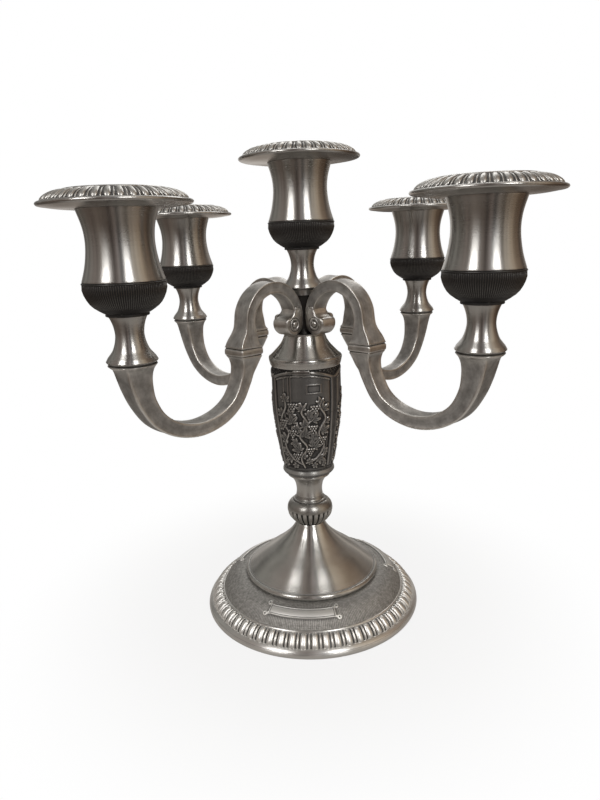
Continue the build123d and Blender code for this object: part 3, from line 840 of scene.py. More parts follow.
    def plate(self) -> Shell:
        """One raised plate with hollow ends and a curl at each corner, centred on angle 0.

        Returns:
            The closed shell.
        """
        path = smooth_curve(self.dome, 0.1)
        middle = len(path) - 1 - int(np.argmin(np.abs(path[::-1, 0] - self.plate_r)))
        along = distances(path)
        across = np.linspace(-self.plate_reach, self.plate_reach, 51)
        place = np.stack([np.interp(along[middle] + across, along, path[:, k]) for k in (0, 1)], 1)
        slope = directions(place)
        normal = np.stack([-slope[:, 1], slope[:, 0]], 1) * np.sign(slope[:, :1])
        half = math.radians(self.plate_arc / 2) * self.plate_r
        gx, gy = np.meshgrid(np.linspace(-half, half, 300), across, indexing="ij")
        ax, ay = np.abs(gx), np.abs(gy)
        strip = np.maximum(ax - (half - self.strip_end), ay - self.plate_half)
        hollow = np.hypot(ax - (half + self.hollow_at), gy) - self.hollow_r
        start, stop = self.horn_span
        run = np.clip(ax, half - start, half - stop)
        share = (run - half + start) / (start - stop)
        horn = np.hypot(ax - run, ay - 2.2 - 1.3 * share ** 1.4) - self.horn_half
        corner = np.hypot(ax - (half - self.curl_at[0]), ay - self.curl_at[1])
        curl, eye = corner - self.curl_r, corner - self.eye_r
        edge = np.minimum(np.minimum(np.maximum(strip, -hollow), curl), horn)
        lift = np.clip(-edge / self.plate_soft, -1, 1) * 0.5 + 0.5
        rise = self.plate_rise * lift - self.plate_foot * (1 - lift) - 0.3 * np.clip(-eye / 0.15, 0, 1)
        border = (np.abs(edge + 0.95) < 0.2) & (ax < half - 3.4)
        inner = np.clip((-edge - 0.8) / 0.2, 0, 1) * (ax < half - 3.2)
        rise = rise - 0.12 * border - 0.14 * inner
        turn = gx / self.plate_r
        sides = []
        for lifted in (rise, -self.plate_sunk):
            radius, height = (place[None, :, k] + lifted * normal[None, :, k] + 0 * turn for k in (0, 1))
            sides.append(np.stack([radius * np.cos(turn), radius * np.sin(turn), height], -1))
        rings = np.concatenate([sides[0], sides[1][:, ::-1]], 1)
        dark = np.concatenate([1.0 - lift + 0.6 * border + 0.12 * inner + 0.9 * (eye < 0), np.ones_like(lift)], 1)
        return capped(rings, rings * (1, 1, 0.2), dark)

    def build(self) -> None:
        """Builds and places the foot's pieces."""
        settle(self.rim(), "bright", nodes=["base_foot"])
        settle(self.shell(), "hatched", nodes=["base_foot"])
        for name, shape, count, first, finish in (
                ("foot_gadroons", self.bead(self.gadroon, 14, 8), self.beads, FRONT, "rubbed"),
                ("foot_bars", self.bead(self.bar, 7, 4), self.beads, FRONT + 180 / self.beads, "rubbed"),
                ("foot_plates", self.plate(), self.plates, self.plate_turn, "plate")):
            model = shape.make(name + "_shape")
            piece = ring(name, model, count, metal(finish), first)
            discard(model)
            settle(piece, finish, nodes=["base_foot"])


@dataclass
class Stem:
    """Trumpet, knop, collar and shoulder cap, each turned from its own foot at the height given."""

    trumpet_z: float = 20.2
    knop_z: float = 52.6
    collar_z: float = 70.9
    cap_z: float = 153.0
    lobes: int = 24

    def trumpet(self) -> bpy.types.Object:
        """Turned cone with a rolled edge.

        Returns:
            The turned piece.
        """
        line = Outline((37.9, 0.0), soft=0.15, step=0.6).line((39.7, 0.0))
        line.curve((41.1, 0.5), (41.6, 1.6), (41.2, 2.8), (40.2, 3.45)).patina(0.7).line((39.9, 3.35), (39.7, 3.5))
        line.patina(0.0).line((39.2, 3.75))
        line.curve((35.6, 6.6), (28.0, 13.0), (21.4, 17.9), (17.0, 21.6), (12.6, 26.0), (10.2, 29.4), (8.7, 32.4))
        line.line((ROD_HOLE, 32.4), (ROD_HOLE, 23.4), (9.4, 23.4)).curve((24.0, 13.0), (37.9, 1.6))
        return turned(line, 200).moved((0, 0, self.trumpet_z)).make("trumpet_cone")

    def knop(self) -> bpy.types.Object:
        """Plain upper half of the knop and the dark bed of its lobes.

        Returns:
            The turned piece.
        """
        line = Outline((ROD_HOLE, 0.0), soft=0.15).line((7.7, 0.0)).patina(1.0)
        line.curve((9.6, 2.0), (11.3, 4.6), (12.5, 7.2), (12.7, 8.4)).line((12.9, 8.7)).patina(0.0)
        line.line((13.6, 8.9)).curve((13.95, 9.8), (13.7, 11.2), (13.0, 12.6), (11.8, 13.9), (10.7, 14.6)).patina(0.9)
        line.line((10.2, 14.7), (10.0, 14.95)).patina(0.0).line((9.8, 15.0)).curve((9.95, 15.35), (9.8, 15.75))
        line.patina(0.5).line((9.1, 15.85)).patina(0.0).curve((8.6, 16.4), (8.35, 17.3), (8.2, 18.3))
        line.line((ROD_HOLE, 18.3))
        return turned(line, 144).moved((0, 0, self.knop_z)).make("knop_turning")

    def lobe(self) -> Shell:
        """One pointed lobe on the knop's lower half.

        Returns:
            The lobe, standing at angle 0.
        """
        rows = ((8.0, 0.3, 0.5, 0.3), (9.7, 1.9, 0.85, 0.8), (11.7, 4.6, 1.2, 1.1), (12.9, 7.2, 1.3, 1.05),
                (13.5, 9.2, 1.1, 0.6), (13.75, 10.4, 0.55, 0.1))
        return petal(rows, sunk=0.6, steps=9, top=6).moved((0, 0, self.knop_z))

    def collar(self) -> bpy.types.Object:
        """Waisted spool with the ring moulding that carries the body.

        Returns:
            The turned piece.
        """
        line = Outline((ROD_HOLE, 0.0), soft=0.15).line((8.2, 0.0))
        line.curve((8.05, 0.9), (7.9, 2.2), (7.95, 4.4), (8.7, 8.2), (10.4, 11.2), (12.0, 12.7)).patina(0.7)
        line.line((12.3, 12.9)).patina(0.1).curve((12.9, 13.3), (13.0, 14.0), (12.7, 14.6)).patina(0.95)
        line.line((12.7, 14.9)).patina(0.78).line((13.6, 15.2)).curve((14.9, 15.7), (15.7, 16.9)).patina(0.4)
        line.curve((15.6, 18.0), (15.1, 18.9)).patina(0.9).line((14.8, 19.3), (14.6, 19.5), (ROD_HOLE, 19.5))
        return turned(line, 144).moved((0, 0, self.collar_z)).make("stem_collar_turning")

    def cap(self) -> bpy.types.Object:
        """Concave shoulder over the body.

        Returns:
            The turned piece.
        """
        line = Outline((ROD_HOLE, 2.0), soft=0.2, step=0.6)
        line.line((15.4, 2.0), (15.4, -2.5), (17.4, -2.5), (17.4, 0.0)).patina(0.5).line((20.5, 0.0))
        line.patina(0.0).line((20.7, 0.3)).curve((21.1, 1.8), (21.4, 3.3)).line((21.5, 3.6))
        line.patina(0.5).line((21.4, 3.85)).patina(0.0).line((21.55, 4.1)).curve((21.45, 4.8), (21.0, 5.4))
        line.patina(0.25).line((20.6, 5.6)).patina(0.0)
        line.curve((19.6, 6.5), (17.3, 8.9), (15.1, 11.3), (13.4, 13.8), (12.3, 16.3), (12.0, 17.2))
        line.line((11.8, 17.6), (ROD_HOLE, 17.6))
        return turned(line, 160).moved((0, 0, self.cap_z)).make("shoulder_turning")

    def build(self) -> None:
        """Builds and places the stem's pieces."""
        settle(self.trumpet(), "spun", nodes=["trumpet"])
        settle(self.knop(), "cast_turned", nodes=["knop"])
        model = self.lobe().make("lobe_shape")
        lobes = ring("knop_lobes", model, self.lobes, metal("ornament"), FRONT)
        discard(model)
        settle(lobes, "ornament", nodes=["knop"])
        settle(self.collar(), "collar", nodes=["stem_collar"])
        settle(self.cap(), "spun", nodes=["shoulder_cap"])


# ---------------------------------------------------------------- body with its panels
@dataclass
class Body:
    """Vase-shaped body with three framed panels of plant ornament.

    On a panel, x runs round the body from the panel's middle and y up from its foot, in mm. first and
    edge are the turn of the first panel and half a panel's width in degrees; a tablet is (x, y, width,
    height) and a leaf (x, y, turn in degrees, length).
    """

    z: float = 90.4
    segments: int = 400
    panels: int = 3
    first: float = -98.0
    edge: float = 51.0
    arch_top: float = 61.0
    arch_drop: float = 3.4
    keystone: float = 14.0
    posts: tuple[float, ...] = (-10.4, -7.6, -6.2)
    tablet: tuple[float, float, float, float] = (6.4, 51.4, 7.6, 5.0)
    unrolled_r: float = 18.6
    main_vines: int = 3
    vines: tuple[tuple[Point, ...], ...] = (
        ((0.0, 3.0), (-2.0, 9.0), (2.0, 16.0), (-2.0, 23.0), (2.5, 31.0), (-0.5, 38.0), (2.0, 43.0)),
        ((-1.0, 5.0), (-7.0, 8.0), (-12.5, 16.0), (-9.0, 25.0), (-12.8, 33.0), (-9.5, 41.0), (-10.5, 48.0)),
        ((1.0, 6.0), (8.0, 9.0), (12.6, 17.0), (9.0, 25.0), (12.8, 34.0), (9.5, 41.0), (10.2, 44.5)),
        ((2.2, 31.0), (5.5, 33.5), (7.4, 37.5), (5.6, 40.0), (4.0, 38.4)),
        ((-2.0, 23.0), (-5.5, 25.0), (-6.4, 28.6), (-4.4, 29.6)))
    leaves: tuple[tuple[float, float, float, float], ...] = (
        (-9.5, 9.5, 215, 5.6), (9.5, 9.0, -25, 5.8), (-3.0, 14.0, 130, 6.2), (6.0, 16.5, 55, 6.4),
        (-11.0, 20.5, 165, 5.6), (0.5, 23.5, 80, 6.4), (11.0, 26.0, 25, 5.6), (-6.0, 31.5, 100, 5.8),
        (5.6, 33.0, 60, 5.6), (-12.0, 36.0, 150, 4.8), (11.0, 39.0, 40, 5.0), (-9.5, 44.5, 95, 4.6),
        (10.2, 43.0, 110, 4.0), (-0.3, 39.5, 105, 4.6), (-13.0, 4.8, 190, 3.4), (13.0, 4.6, -10, 3.4),
        (2.6, 6.6, 30, 3.8), (-13.0, 13.0, 200, 4.0), (4.0, 21.0, 10, 4.6), (-4.2, 19.4, 200, 4.6),
        (7.4, 22.4, 140, 4.4), (-7.0, 36.0, 55, 4.6), (1.2, 29.5, 95, 4.6), (13.2, 32.0, 0, 3.6),
        (-2.6, 27.0, 150, 4.6), (6.4, 4.8, -50, 3.4), (-6.0, 4.6, 235, 3.6), (13.4, 13.0, -20, 3.8),
        (-13.2, 28.0, 175, 3.8), (2.6, 36.0, 30, 4.2), (-1.0, 10.0, 60, 4.2))
    grapes: tuple[Point, ...] = (
        (-4.6, 9.6), (3.8, 13.4), (11.4, 20.0), (-6.4, 24.6), (5.6, 27.6), (-11.2, 30.6), (7.0, 39.6), (-5.2, 41.0))

    def outline(self) -> Outline:
        """The outline, fine on the outside where the relief lies.

        Returns:
            The closed outline.
        """
        line = Outline((ROD_HOLE, 0.0), soft=0.1, step=0.33).line((14.7, 0.0)).patina(0.25)
        line.curve((16.2, 8.0), (17.7, 18.0), (19.5, 32.0), (20.3, 46.0), (20.2, 62.6)).patina(0.3)
        line.line((17.6, 62.6))
        line.step = 4.0
        return line.curve((17.7, 46.0), (15.1, 18.0), (12.1, 5.0)).line((ROD_HOLE, 5.0))

    @staticmethod
    def leaf(x: np.ndarray, y: np.ndarray, size: float) -> np.ndarray:
        """Height of one five-lobed leaf.

        Args:
            x: distance along the leaf from its stalk, in mm.
            y: distance across it.
            size: length of its middle lobe.

        Returns:
            The height as a share of the full height, and below 0 off the leaf.
        """
        top = np.full_like(x, -1.0)
        for turn, long in ((0, 1.0), (48, 0.82), (-48, 0.82), (100, 0.55), (-100, 0.55)):
            a = math.radians(turn)
            u, v = (x * math.cos(a) + y * math.sin(a)) / (size * long), -x * math.sin(a) + y * math.cos(a)
            spread = 0.27 * size * long * np.sqrt(np.clip(np.sin(math.pi * np.clip(u, 0, 1) ** 0.75), 1e-6, 1))
            lobe = (0.5 + 0.45 * u) * np.sqrt(np.clip(1 - (v / spread) ** 2, 0, 1)) - 0.3 * np.exp(-(v / 0.2) ** 2)
            top = np.where((u > 0) & (u < 1) & (np.abs(v) < spread), np.maximum(top, lobe), top)
        return top

    def plants(self, x: np.ndarray, y: np.ndarray) -> np.ndarray:
        """Height of the plant ornament.

        Args:
            x: places across a panel, in mm.
            y: places up the panel.

        Returns:
            The height at each place, in mm.
        """
        top = np.zeros_like(x)
        for k, vine in enumerate(self.vines):
            reach, path = np.full_like(x, 9.0), smooth_curve(vine, 0.8)
            for a, b in zip(path[:-1], path[1:]):
                u, v = b - a
                t = np.clip(((x - a[0]) * u + (y - a[1]) * v) / (u * u + v * v), 0, 1)
                reach = np.minimum(reach, np.hypot(x - a[0] - t * u, y - a[1] - t * v))
            half = 0.6 if k < self.main_vines else 0.42
            top = np.maximum(top, 0.8 * np.sqrt(np.clip(1 - (reach / half) ** 2, 0, 1)))
        for lx, ly, turn, size in self.leaves:
            c, s = math.cos(math.radians(turn)), math.sin(math.radians(turn))
            dx, dy = x - lx, y - ly
            top = np.maximum(top, 1.05 * self.leaf(dx * c + dy * s, dy * c - dx * s, size))
        for gx, gy in self.grapes:
            for row in range(4):
                for k in range(4 - row):
                    cx, cy = gx + (k - (3 - row) / 2) * 1.45, gy + 1.6 - row * 1.3
                    top = np.maximum(top, 1.15 * np.sqrt(np.clip(1 - ((x - cx) ** 2 + (y - cy) ** 2) / 0.6, 0, 1)))
        return top

    def relief(self, theta: np.ndarray, radius: np.ndarray, height: np.ndarray) -> tuple[np.ndarray, np.ndarray]:
        """The panels' frames and ornament.

        Args:
            theta: angle of each point, in radians.
            radius: its distance from the axis.
            height: its height.

        Returns:
            How far the surface stands out and how dark it is.
        """
        phi = from_nearest(theta, self.first, self.panels)
        degrees = np.degrees(phi)
        x, y = phi * self.unrolled_r, height
        from_edge = (np.abs(degrees) - self.edge) * math.radians(1) * radius
        arch = y - (self.arch_top - self.arch_drop * (degrees / self.edge) ** 2)
        inside = (from_edge < 0) & (arch < 0)
        rise = np.where(inside, self.plants(x, y), 0.0)
        low = np.clip((44.0 - y) / 10.0, 0, 1)
        dark = np.where(inside, 0.05 + low * np.where(rise < 0.05, 0.5, 0.1), 0.0)

        def lay(where: np.ndarray, lift: Optional[float | np.ndarray] = None, shade: Optional[float] = None) -> None:
            """Sets the rise and the patina where a shape lies.

            Args:
                where: True where the shape lies.
                lift: its rise in mm; None leaves the rise alone.
                shade: its patina; None leaves the patina alone.
            """
            nonlocal rise, dark
            rise = rise if lift is None else np.where(where, lift, rise)
            dark = dark if shade is None else np.where(where, shade, dark)

        for post in self.posts:
            lay(inside & (np.abs(x - post) < 0.36) & (y > 34.0) & (rise < 0.05), 0.3, 0.0)
        middle_x, middle_y, wide, tall = self.tablet
        tablet = np.maximum(np.abs(x - middle_x) - wide / 2, np.abs(y - middle_y) - tall / 2)
        lay(np.abs(tablet) < 0.3, lift=0.22)
        lay(np.abs(tablet + 0.62) < 0.3, shade=0.6)
        channel = (np.abs(from_edge + 0.1) < 0.75) & (arch < 0.6)
        lay(channel, -0.55, 1.0)
        bar = from_edge > 0.65
        lay(bar, 0.5 - 0.04 * (from_edge - 2.2) ** 2, 0.45)
        spandrel = (arch > 0.9) & (y < 62.5)
        speck = np.sin(x * 7.3 + np.sin(y * 5.1) * 1.3) * np.sin(y * 7.9 + np.sin(x * 4.7) * 1.7)
        lay(spandrel, -0.75 + 0.3 * speck, 0.9)
        bead = (np.abs(arch) < 0.95) & (from_edge < 1.6)
        lay(bead, 0.55 * np.sqrt(np.clip(1 - (arch / 0.95) ** 2, 0, 1)), 0.35)
        fillet = (np.abs(arch + 1.85) < 0.48) & (from_edge < -0.6)
        lay(fillet, lift=0.36)
        groove = (np.abs(arch + 1.16) < 0.24) & (from_edge < -0.6)
        lay(groove, shade=0.8)
        key = (np.abs(degrees) < self.keystone) & (np.abs(y - self.arch_top + 0.1) < 1.2)
        lay(key, 0.6, 0.0)
        lay(key & (np.abs(np.abs(degrees) - self.keystone + 1.2) < 0.35), shade=0.9)
        foot = (y > 0.3) & (y < 2.4)
        lay(foot, lift=0.3 * np.sin((y - 0.3) / 2.1 * math.pi))
        outer = (radius > 14.6) & (y > 0.2) & (radius > np.interp(y, [0, 18, 46, 63], [14.0, 16.6, 19.2, 19.2]))
        lay(~outer, 0.0, 0.0)
        around = rise
        for _ in range(2):
            for axis in (1, 0):
                around = sum(np.roll(around, k, axis) for k in (-2, -1, 0, 1, 2)) / 5
        return rise, dark + np.where(outer, np.clip((around - rise) * 3.2, -1.0, 0.95), 0.0)

    def build(self) -> None:
        """Builds and places the body."""
        piece = turned(self.outline(), self.segments, self.relief).moved((0, 0, self.z)).make("body_panels")
        settle(piece, "dark", nodes=["body_vase"])


# ---------------------------------------------------------------- arms
@dataclass
class Arm:
    """Cast arm: rolled end at the hub, upper scroll, square band, lower curve and round seat.

    Lines are in the arm's own plane: s outwards from the stem's axis, z up. A station is
    (s, z, thickness, width, corner, hollow, roundness), strap its last five values on the scroll, and
    a row of the band (z, size, patina). The patina round a section runs from its face to a corner,
    where the metal is painted lighter, partly wear and partly painted highlight; from outer_from on
    the arm is painted darker outwards, a painted shade.
    """

    scroll: Point = (27.0, 181.4)
    scroll_r: float = 17.9
    strap: tuple[float, ...] = (6.2, 10.8, 0.4, 0.32, 0)
    band_s: float = 46.5
    # rubbed scales the face patina and the corners painted lighter, partly wear and partly painted highlight
    rubbed: float = 0.85
    # how much darker the arm is painted towards its outer end: painted shade
    outer_painted_shade: float = 0.3
    outer_from: float = 70.0
    outer_over: float = 30.0
    # patina in the hollow faces; below 0 the corners are painted lighter, partly wear and partly painted highlight
    face_patina_and_highlight: tuple[float, ...] = (-0.4, 0.15, 0.4, 0.5, 0.4, 0.15, -0.4, -1.2, -1.6, -1.2)
    band_wear_and_highlight: tuple[float, ...] = (-0.2, 0, 0, 0, 0, 0, -0.2, -0.5, -0.6, -0.5)
    band_rows: tuple[tuple[float, float, float], ...] = (
        (164.7, 13.4, 1), (165.0, 13.7, 1), (165.35, 13.8, 1), (165.5, 14.2, 0.7), (165.8, 14.7, -0.2),
        (166.3, 14.9, -0.4), (167.2, 15.0, -0.3), (168.1, 14.9, -0.4), (168.6, 14.7, -0.2), (168.9, 14.2, 0.7),
        (169.05, 13.9, 1), (169.7, 13.8, 1))
    leg: tuple[tuple[float, ...], ...] = (
        (45.0, 178.6, 7.3, 11.1, 0.4, 0.32, 0), (45.3, 176.2, 8.7, 11.7, 0.4, 0.34, 0),
        (45.75, 174.1, 10.1, 12.3, 0.4, 0.34, 0), (46.2, 172.3, 11.6, 13.0, 0.4, 0.3, 0),
        (46.45, 170.8, 13.1, 13.8, 0.4, 0.2, 0), (46.5, 169.4, 14.5, 14.6, 0.4, 0.1, 0))
    curve: tuple[tuple[float, ...], ...] = (
        (46.5, 164.9, 14.0, 14.0, 0.5, 0.1, 0), (46.6, 163.3, 12.3, 12.8, 0.5, 0.2, 0),
        (47.2, 160.2, 9.9, 11.5, 0.5, 0.3, 0), (48.2, 157.0, 8.1, 10.8, 0.6, 0.34, 0),
        (50.1, 151.9, 7.2, 10.4, 0.6, 0.36, 0), (56.1, 142.1, 6.7, 10.4, 0.7, 0.36, 0),
        (65.8, 135.6, 6.8, 10.4, 0.7, 0.36, 0), (80.0, 132.7, 7.0, 10.4, 0.7, 0.36, 0),
        (93.4, 135.4, 7.4, 10.4, 0.8, 0.34, 0),
        (103.8, 142.3, 8.2, 10.6, 0.7, 0.3, 0.0), (109.8, 152.0, 9.4, 11.2, 0.8, 0.28, 0.0),
        (112.0, 159.4, 11.0, 12.0, 0.8, 0.25, 0.0), (112.8, 164.4, 12.8, 13.4, 0.9, 0.15, 0.15),
        (113.0, 167.4, 15.4, 15.8, 1.0, 0.1, 0.5), (113.0, 169.3, 18.7, 18.9, 1.2, 0.05, 0.85),
        (113.0, 170.2, 21.2, 21.2, 1.5, 0.0, 1.0), (113.0, 170.9, 22.4, 22.4, 1.5, 0.0, 1.0))
    roll: tuple[Point, ...] = (
        (12.3, 187.2), (9.0, 187.4), (6.3, 183.2), (6.15, 178.4), (7.4, 174.6), (10.2, 172.2), (13.5, 171.5),
        (16.4, 172.5), (18.7, 174.9), (19.6, 177.5), (19.2, 180.0), (18.0, 181.1), (15.6, 181.7), (13.6, 183.4))
    eye: Point = (13.2, 177.7)
    roll_half: float = 5.7

    @staticmethod
    def section(thick: float, wide: float, corner: float, hollow: float, roundness: float) -> np.ndarray:
        """Draws one cross-section of the arm.

        Args:
            thick: thickness in the arm's plane.
            wide: width across the plane.
            corner: radius of the corners.
            hollow: how far the sides are hollowed.
            roundness: from 0, square, to 1, round.

        Returns:
            40 points: how far out in the arm's plane, and how far sideways.
        """
        a, b = thick / 2, wide / 2
        points = []
        for quarter in range(4):
            ca, sa = ((1, 0), (0, 1), (-1, 0), (0, -1))[quarter]
            long, deep = (b, a) if quarter % 2 == 0 else (a, b)
            for t in (-1, -0.9, -0.55, 0, 0.55, 0.9, 1):
                p, q = deep - hollow * (1 - t * t), t * (long - corner)
                points.append((ca * p - sa * q, sa * p + ca * q))
            for turn in (22.5, 45, 67.5):
                p = deep - corner + corner * math.cos(math.radians(turn))
                q = long - corner + corner * math.sin(math.radians(turn))
                points.append((ca * p - sa * q, sa * p + ca * q))
        square = np.array(points)
        angle = np.arctan2(square[:, 1] / b, square[:, 0] / a)
        return square * (1 - roundness) + roundness * np.stack([a * np.cos(angle), b * np.sin(angle)], 1)

    def sweep(self, stations: Sequence[Sequence[float]], step: float = 1.0) -> Shell:
        """Sweeps the section through stations and closes the ends.

        Args:
            stations: rows as in the note on the class.
            step: distance between sections.

        Returns:
            The closed shell.
        """
        rows = smooth_curve(stations, step)
        rings, grain, dark = [], [], []
        # patina in the hollow faces; the corners painted lighter, partly wear and partly painted highlight
        face = self.rubbed * np.tile(self.face_patina_and_highlight, 4)
        for row, way, far in zip(rows, directions(rows), distances(rows)):
            flat = self.section(*row[2:])
            normal = np.array([-way[1], way[0]])
            place = row[:2] + flat[:, :1] * normal
            rings.append(np.stack([place[:, 0], flat[:, 1], place[:, 1]], 1))
            grain.append(np.stack([np.full(len(flat), far), np.zeros(len(flat)), flat[:, 0] + flat[:, 1]], 1))
            # from outer_from outwards the arm is painted darker, a painted shade
            outer = float(np.clip((row[0] - self.outer_from) / self.outer_over, 0, 1))
            dark.append(face * (1 - row[6]) + self.outer_painted_shade * outer)
        return capped(np.array(rings), np.array(grain), np.array(dark))

    def band(self) -> Shell:
        """The rounded square band with a dark groove above and below it.

        Returns:
            The closed shell.
        """
        rings = []
        for z, size, _ in self.band_rows:
            flat = self.section(size, size, 0.8, 0.05, 0)
            rings.append(np.stack([self.band_s + flat[:, 0], flat[:, 1], np.full(len(flat), z)], 1))
        rings = np.array(rings)
        dark = np.array([[shade] * rings.shape[1] for _, _, shade in self.band_rows])
        # the band's corners are painted lighter, partly wear and partly painted highlight
        return capped(rings, rings, dark + np.tile(self.band_wear_and_highlight, 4) * (dark < 0.05))

    def rolled_end(self) -> Shell:
        """The rolled end with a ringed eye on each side.

        Returns:
            The closed shells.
        """
        flat = smooth_curve((*self.roll, self.roll[0]), 0.8)[:-1]
        normal, half = outline_normals(flat), self.roll_half
        rings = []
        for side, steps in ((-1, ((0, 0.9), (0.25, 0.25), (0.9, 0.0), (half / 2, 0.0))),
                            (1, ((half / 2, 0.0), (0.9, 0.0), (0.25, 0.25), (0, 0.9)))):
            for back, inset in steps:
                inner = flat - inset * normal
                rings.append(np.stack([inner[:, 0], np.full(len(flat), side * (half - back)), inner[:, 1]], 1))
        rings = np.array(rings)
        across, up = self.eye
        shell = capped(rings, rings, np.zeros(rings.shape[:2]), ((across, -half, up), (across, half, up)))
        line = Outline((0.02, -0.8), soft=0.1, step=0.4).line((4.3, -0.8), (4.3, 0.0)).patina(1.0)
        line.line((3.9, 0.05), (3.6, 0.05)).patina(0.1).curve((3.2, 0.35), (2.7, 0.4), (2.3, 0.1)).patina(1.0)
        line.line((2.1, 0.0), (1.8, 0.0)).patina(0.0).curve((1.5, 0.6), (0.9, 0.95), (0.02, 1.1))
        boss = turned(line, 40)
        for side in (-1, 1):
            shell = shell + boss.mapped(((1, 0, 0), (0, 0, side), (0, side, 0)), (across, side * half, up))
        return shell

    def seat(self) -> Shell:
        """The round seat under a light.

        Returns:
            The closed shell.
        """
        line = Outline((2.1, 169.6), soft=0.15).line((9.2, 169.4)).curve((10.4, 170.2), (11.3, 171.0)).patina(1.0)
        line.line((11.2, 171.25), (10.4, SEAT_Z), (2.1, SEAT_Z))
        return turned(line, 96).moved((ARM_REACH, 0, 0))

    def shell(self) -> Shell:
        """The whole arm in its own plane, laid along X.

        Returns:
            The arm's closed shells.
        """
        s, z, r = *self.scroll, self.scroll_r
        upper = [(9.3, 176.4, 5.6, 10.6, 0.4, 0.2, 0)]
        for degrees in range(180, -1, -20):
            turn = math.radians(degrees)
            upper.append((s + r * math.cos(turn), z + r * math.sin(turn), *self.strap))
        return self.sweep((*upper, *self.leg)) + self.sweep(self.curve) + self.band() + self.rolled_end() + self.seat()

    def build(self) -> None:
        """Builds and places the four arms."""
        shell = self.shell()
        for place, turn in ARM_TURN.items():
            piece = shell.moved(turn=turn).make("arm_casting_" + place.value)
            settle(piece, "cast", nodes=["arm_" + place.value])


# ---------------------------------------------------------------- lights
@dataclass
class Light:
    """One light: neck, fluted bowl, socket sleeve and loose drip pan, heights from its seat."""

    place: Place
    flutes: int = 112
    beads: int = 38

    @property
    def centre(self) -> tuple[float, float, float]:
        """Where its seat stands, in mm.

        Returns:
            The middle of the seat.
        """
        if self.place is Place.CENTRE:
            return (0.0, 0.0, CENTRE_SEAT_Z)
        turn = math.radians(ARM_TURN[self.place])
        return (ARM_REACH * math.cos(turn), ARM_REACH * math.sin(turn), SEAT_Z)

    def neck(self) -> Shell:
        """Turned neck with a ring foot.

        Returns:
            The closed shell.
        """
        hole = ROD_HOLE if self.place is Place.CENTRE else SCREW_HOLE
        line = Outline((hole, 0.0), soft=0.12, step=0.6).patina(0.8).line((10.4, 0.0), (10.6, 0.2)).patina(0.1)
        line.line((10.9, 0.35)).curve((11.4, 0.8), (11.75, 1.2)).patina(-0.5).line((11.8, 1.4)).patina(0.0)
        line.curve((11.5, 1.9), (10.9, 3.0))
        line.curve((9.6, 4.6), (8.4, 6.2), (7.4, 8.6), (6.7, 11.4), (6.5, 13.8), (6.9, 17.0), (7.7, 19.7), (8.7, 21.9))
        return turned(line.line((hole, 21.9)), 112)

    def bowl(self) -> Shell:
        """Plain form of the bowl, under its flutes.

        Returns:
            The closed shell.
        """
        hole, pocket, deep = (ROD_HOLE, 7.0, 7.1) if self.place is Place.CENTRE else (SCREW_HOLE, 4.4, 3.0)
        line = Outline((hole, 21.9), soft=0.15, step=0.8).patina(0.5).line((9.5, 21.9))
        line.curve((9.8, 22.2), (9.7, 23.0)).patina(0.9).line((9.9, 23.2)).patina(0.8)
        line.curve((12.2, 24.5), (14.9, 26.8), (17.1, 30.2), (18.2, 33.4), (18.4, 36.0)).patina(0.5).line((18.4, 36.3))
        line.patina(0.2).line((18.65, 36.4), (18.65, 36.9)).patina(0.5).line((18.3, 37.1), (pocket, 37.1))
        return turned(line.line((pocket, 37.1 - deep), (hole, 37.1 - deep)), 160)

    def flute(self) -> Shell:
        """One thin ridge of the fluting.

        Returns:
            The ridge, standing at angle 0.
        """
        rows = ((10.4, 23.5, 0.18, 0.12), (14.9, 26.9, 0.28, 0.27), (17.1, 30.3, 0.33, 0.28), (18.2, 33.4, 0.35, 0.28),
                (18.36, 35.0, 0.33, 0.24), (18.4, 36.1, 0.22, 0.02))
        return petal(rows, sunk=0.1, steps=8, top=2)

    def sleeve(self) -> Shell:
        """Waisted socket sleeve with the candle's bore.

        Returns:
            The closed shell.
        """
        line = Outline((11.4, 37.1), soft=0.2).line((17.9, 37.1)).curve((18.2, 37.4), (18.1, 38.0))
        line.curve((17.3, 40.4), (16.4, 43.5), (15.5, 48.0), (14.95, 53.0), (15.0, 57.0), (15.5, 60.8), (16.3, 64.0),
                   (17.6, 68.2))
        return turned(line.line((13.4, 68.2), (13.4, 63.2), (11.4, 63.2)), 144)

    def pan(self) -> Shell:
        """Loose drip pan: plain lip, bed of the gadroons, crest and well.

        Returns:
            The closed shell.
        """
        line = Outline((11.8, 64.2), soft=0.2).line((13.0, 64.2), (13.0, 68.2), (19.0, 68.2))
        line.curve((25.5, 68.5), (31.2, 69.3)).curve((32.6, 69.6), (33.2, 70.4), (32.8, 71.1), (32.0, 71.4))
        line.patina(0.2).line((31.5, 71.4)).patina(0.9).line((31.1, 71.2))
        line.curve((29.9, 72.4), (28.1, 73.7), (25.0, 75.0), (23.3, 75.4)).patina(0.8).line((22.9, 75.4))
        line.patina(0.0).line((22.7, 75.9))
        line.curve((21.9, 76.3), (21.0, 76.1), (20.0, 75.2), (18.8, 72.6), (17.4, 71.0), (15.6, 70.6))
        return turned(line.line((11.8, 70.2)), 160)

    def bead(self) -> Shell:
        """One gadroon of the pan's border.

        Returns:
            The gadroon, standing at angle 0.
        """
        rows = ((31.2, 71.3, 0.8, 0.2), (30.6, 71.8, 1.3, 0.65), (29.2, 73.0, 1.4, 0.85), (27.2, 74.1, 1.3, 0.85),
                (25.0, 74.95, 1.05, 0.7), (23.6, 75.3, 0.75, 0.45), (23.1, 75.4, 0.4, 0.1))
        return petal(rows, sunk=0.6, steps=10, top=6)

    def bar(self) -> Shell:
        """One thin spindle between two gadroons of the border.

        Returns:
            The spindle, standing at angle 0.
        """
        rows = ((31.1, 71.3, 0.2, 0.1), (30.0, 72.4, 0.4, 0.5), (27.4, 74.0, 0.34, 0.55), (23.7, 75.3, 0.12, 0.2))
        return petal(rows, sunk=0.6, steps=7, top=4)

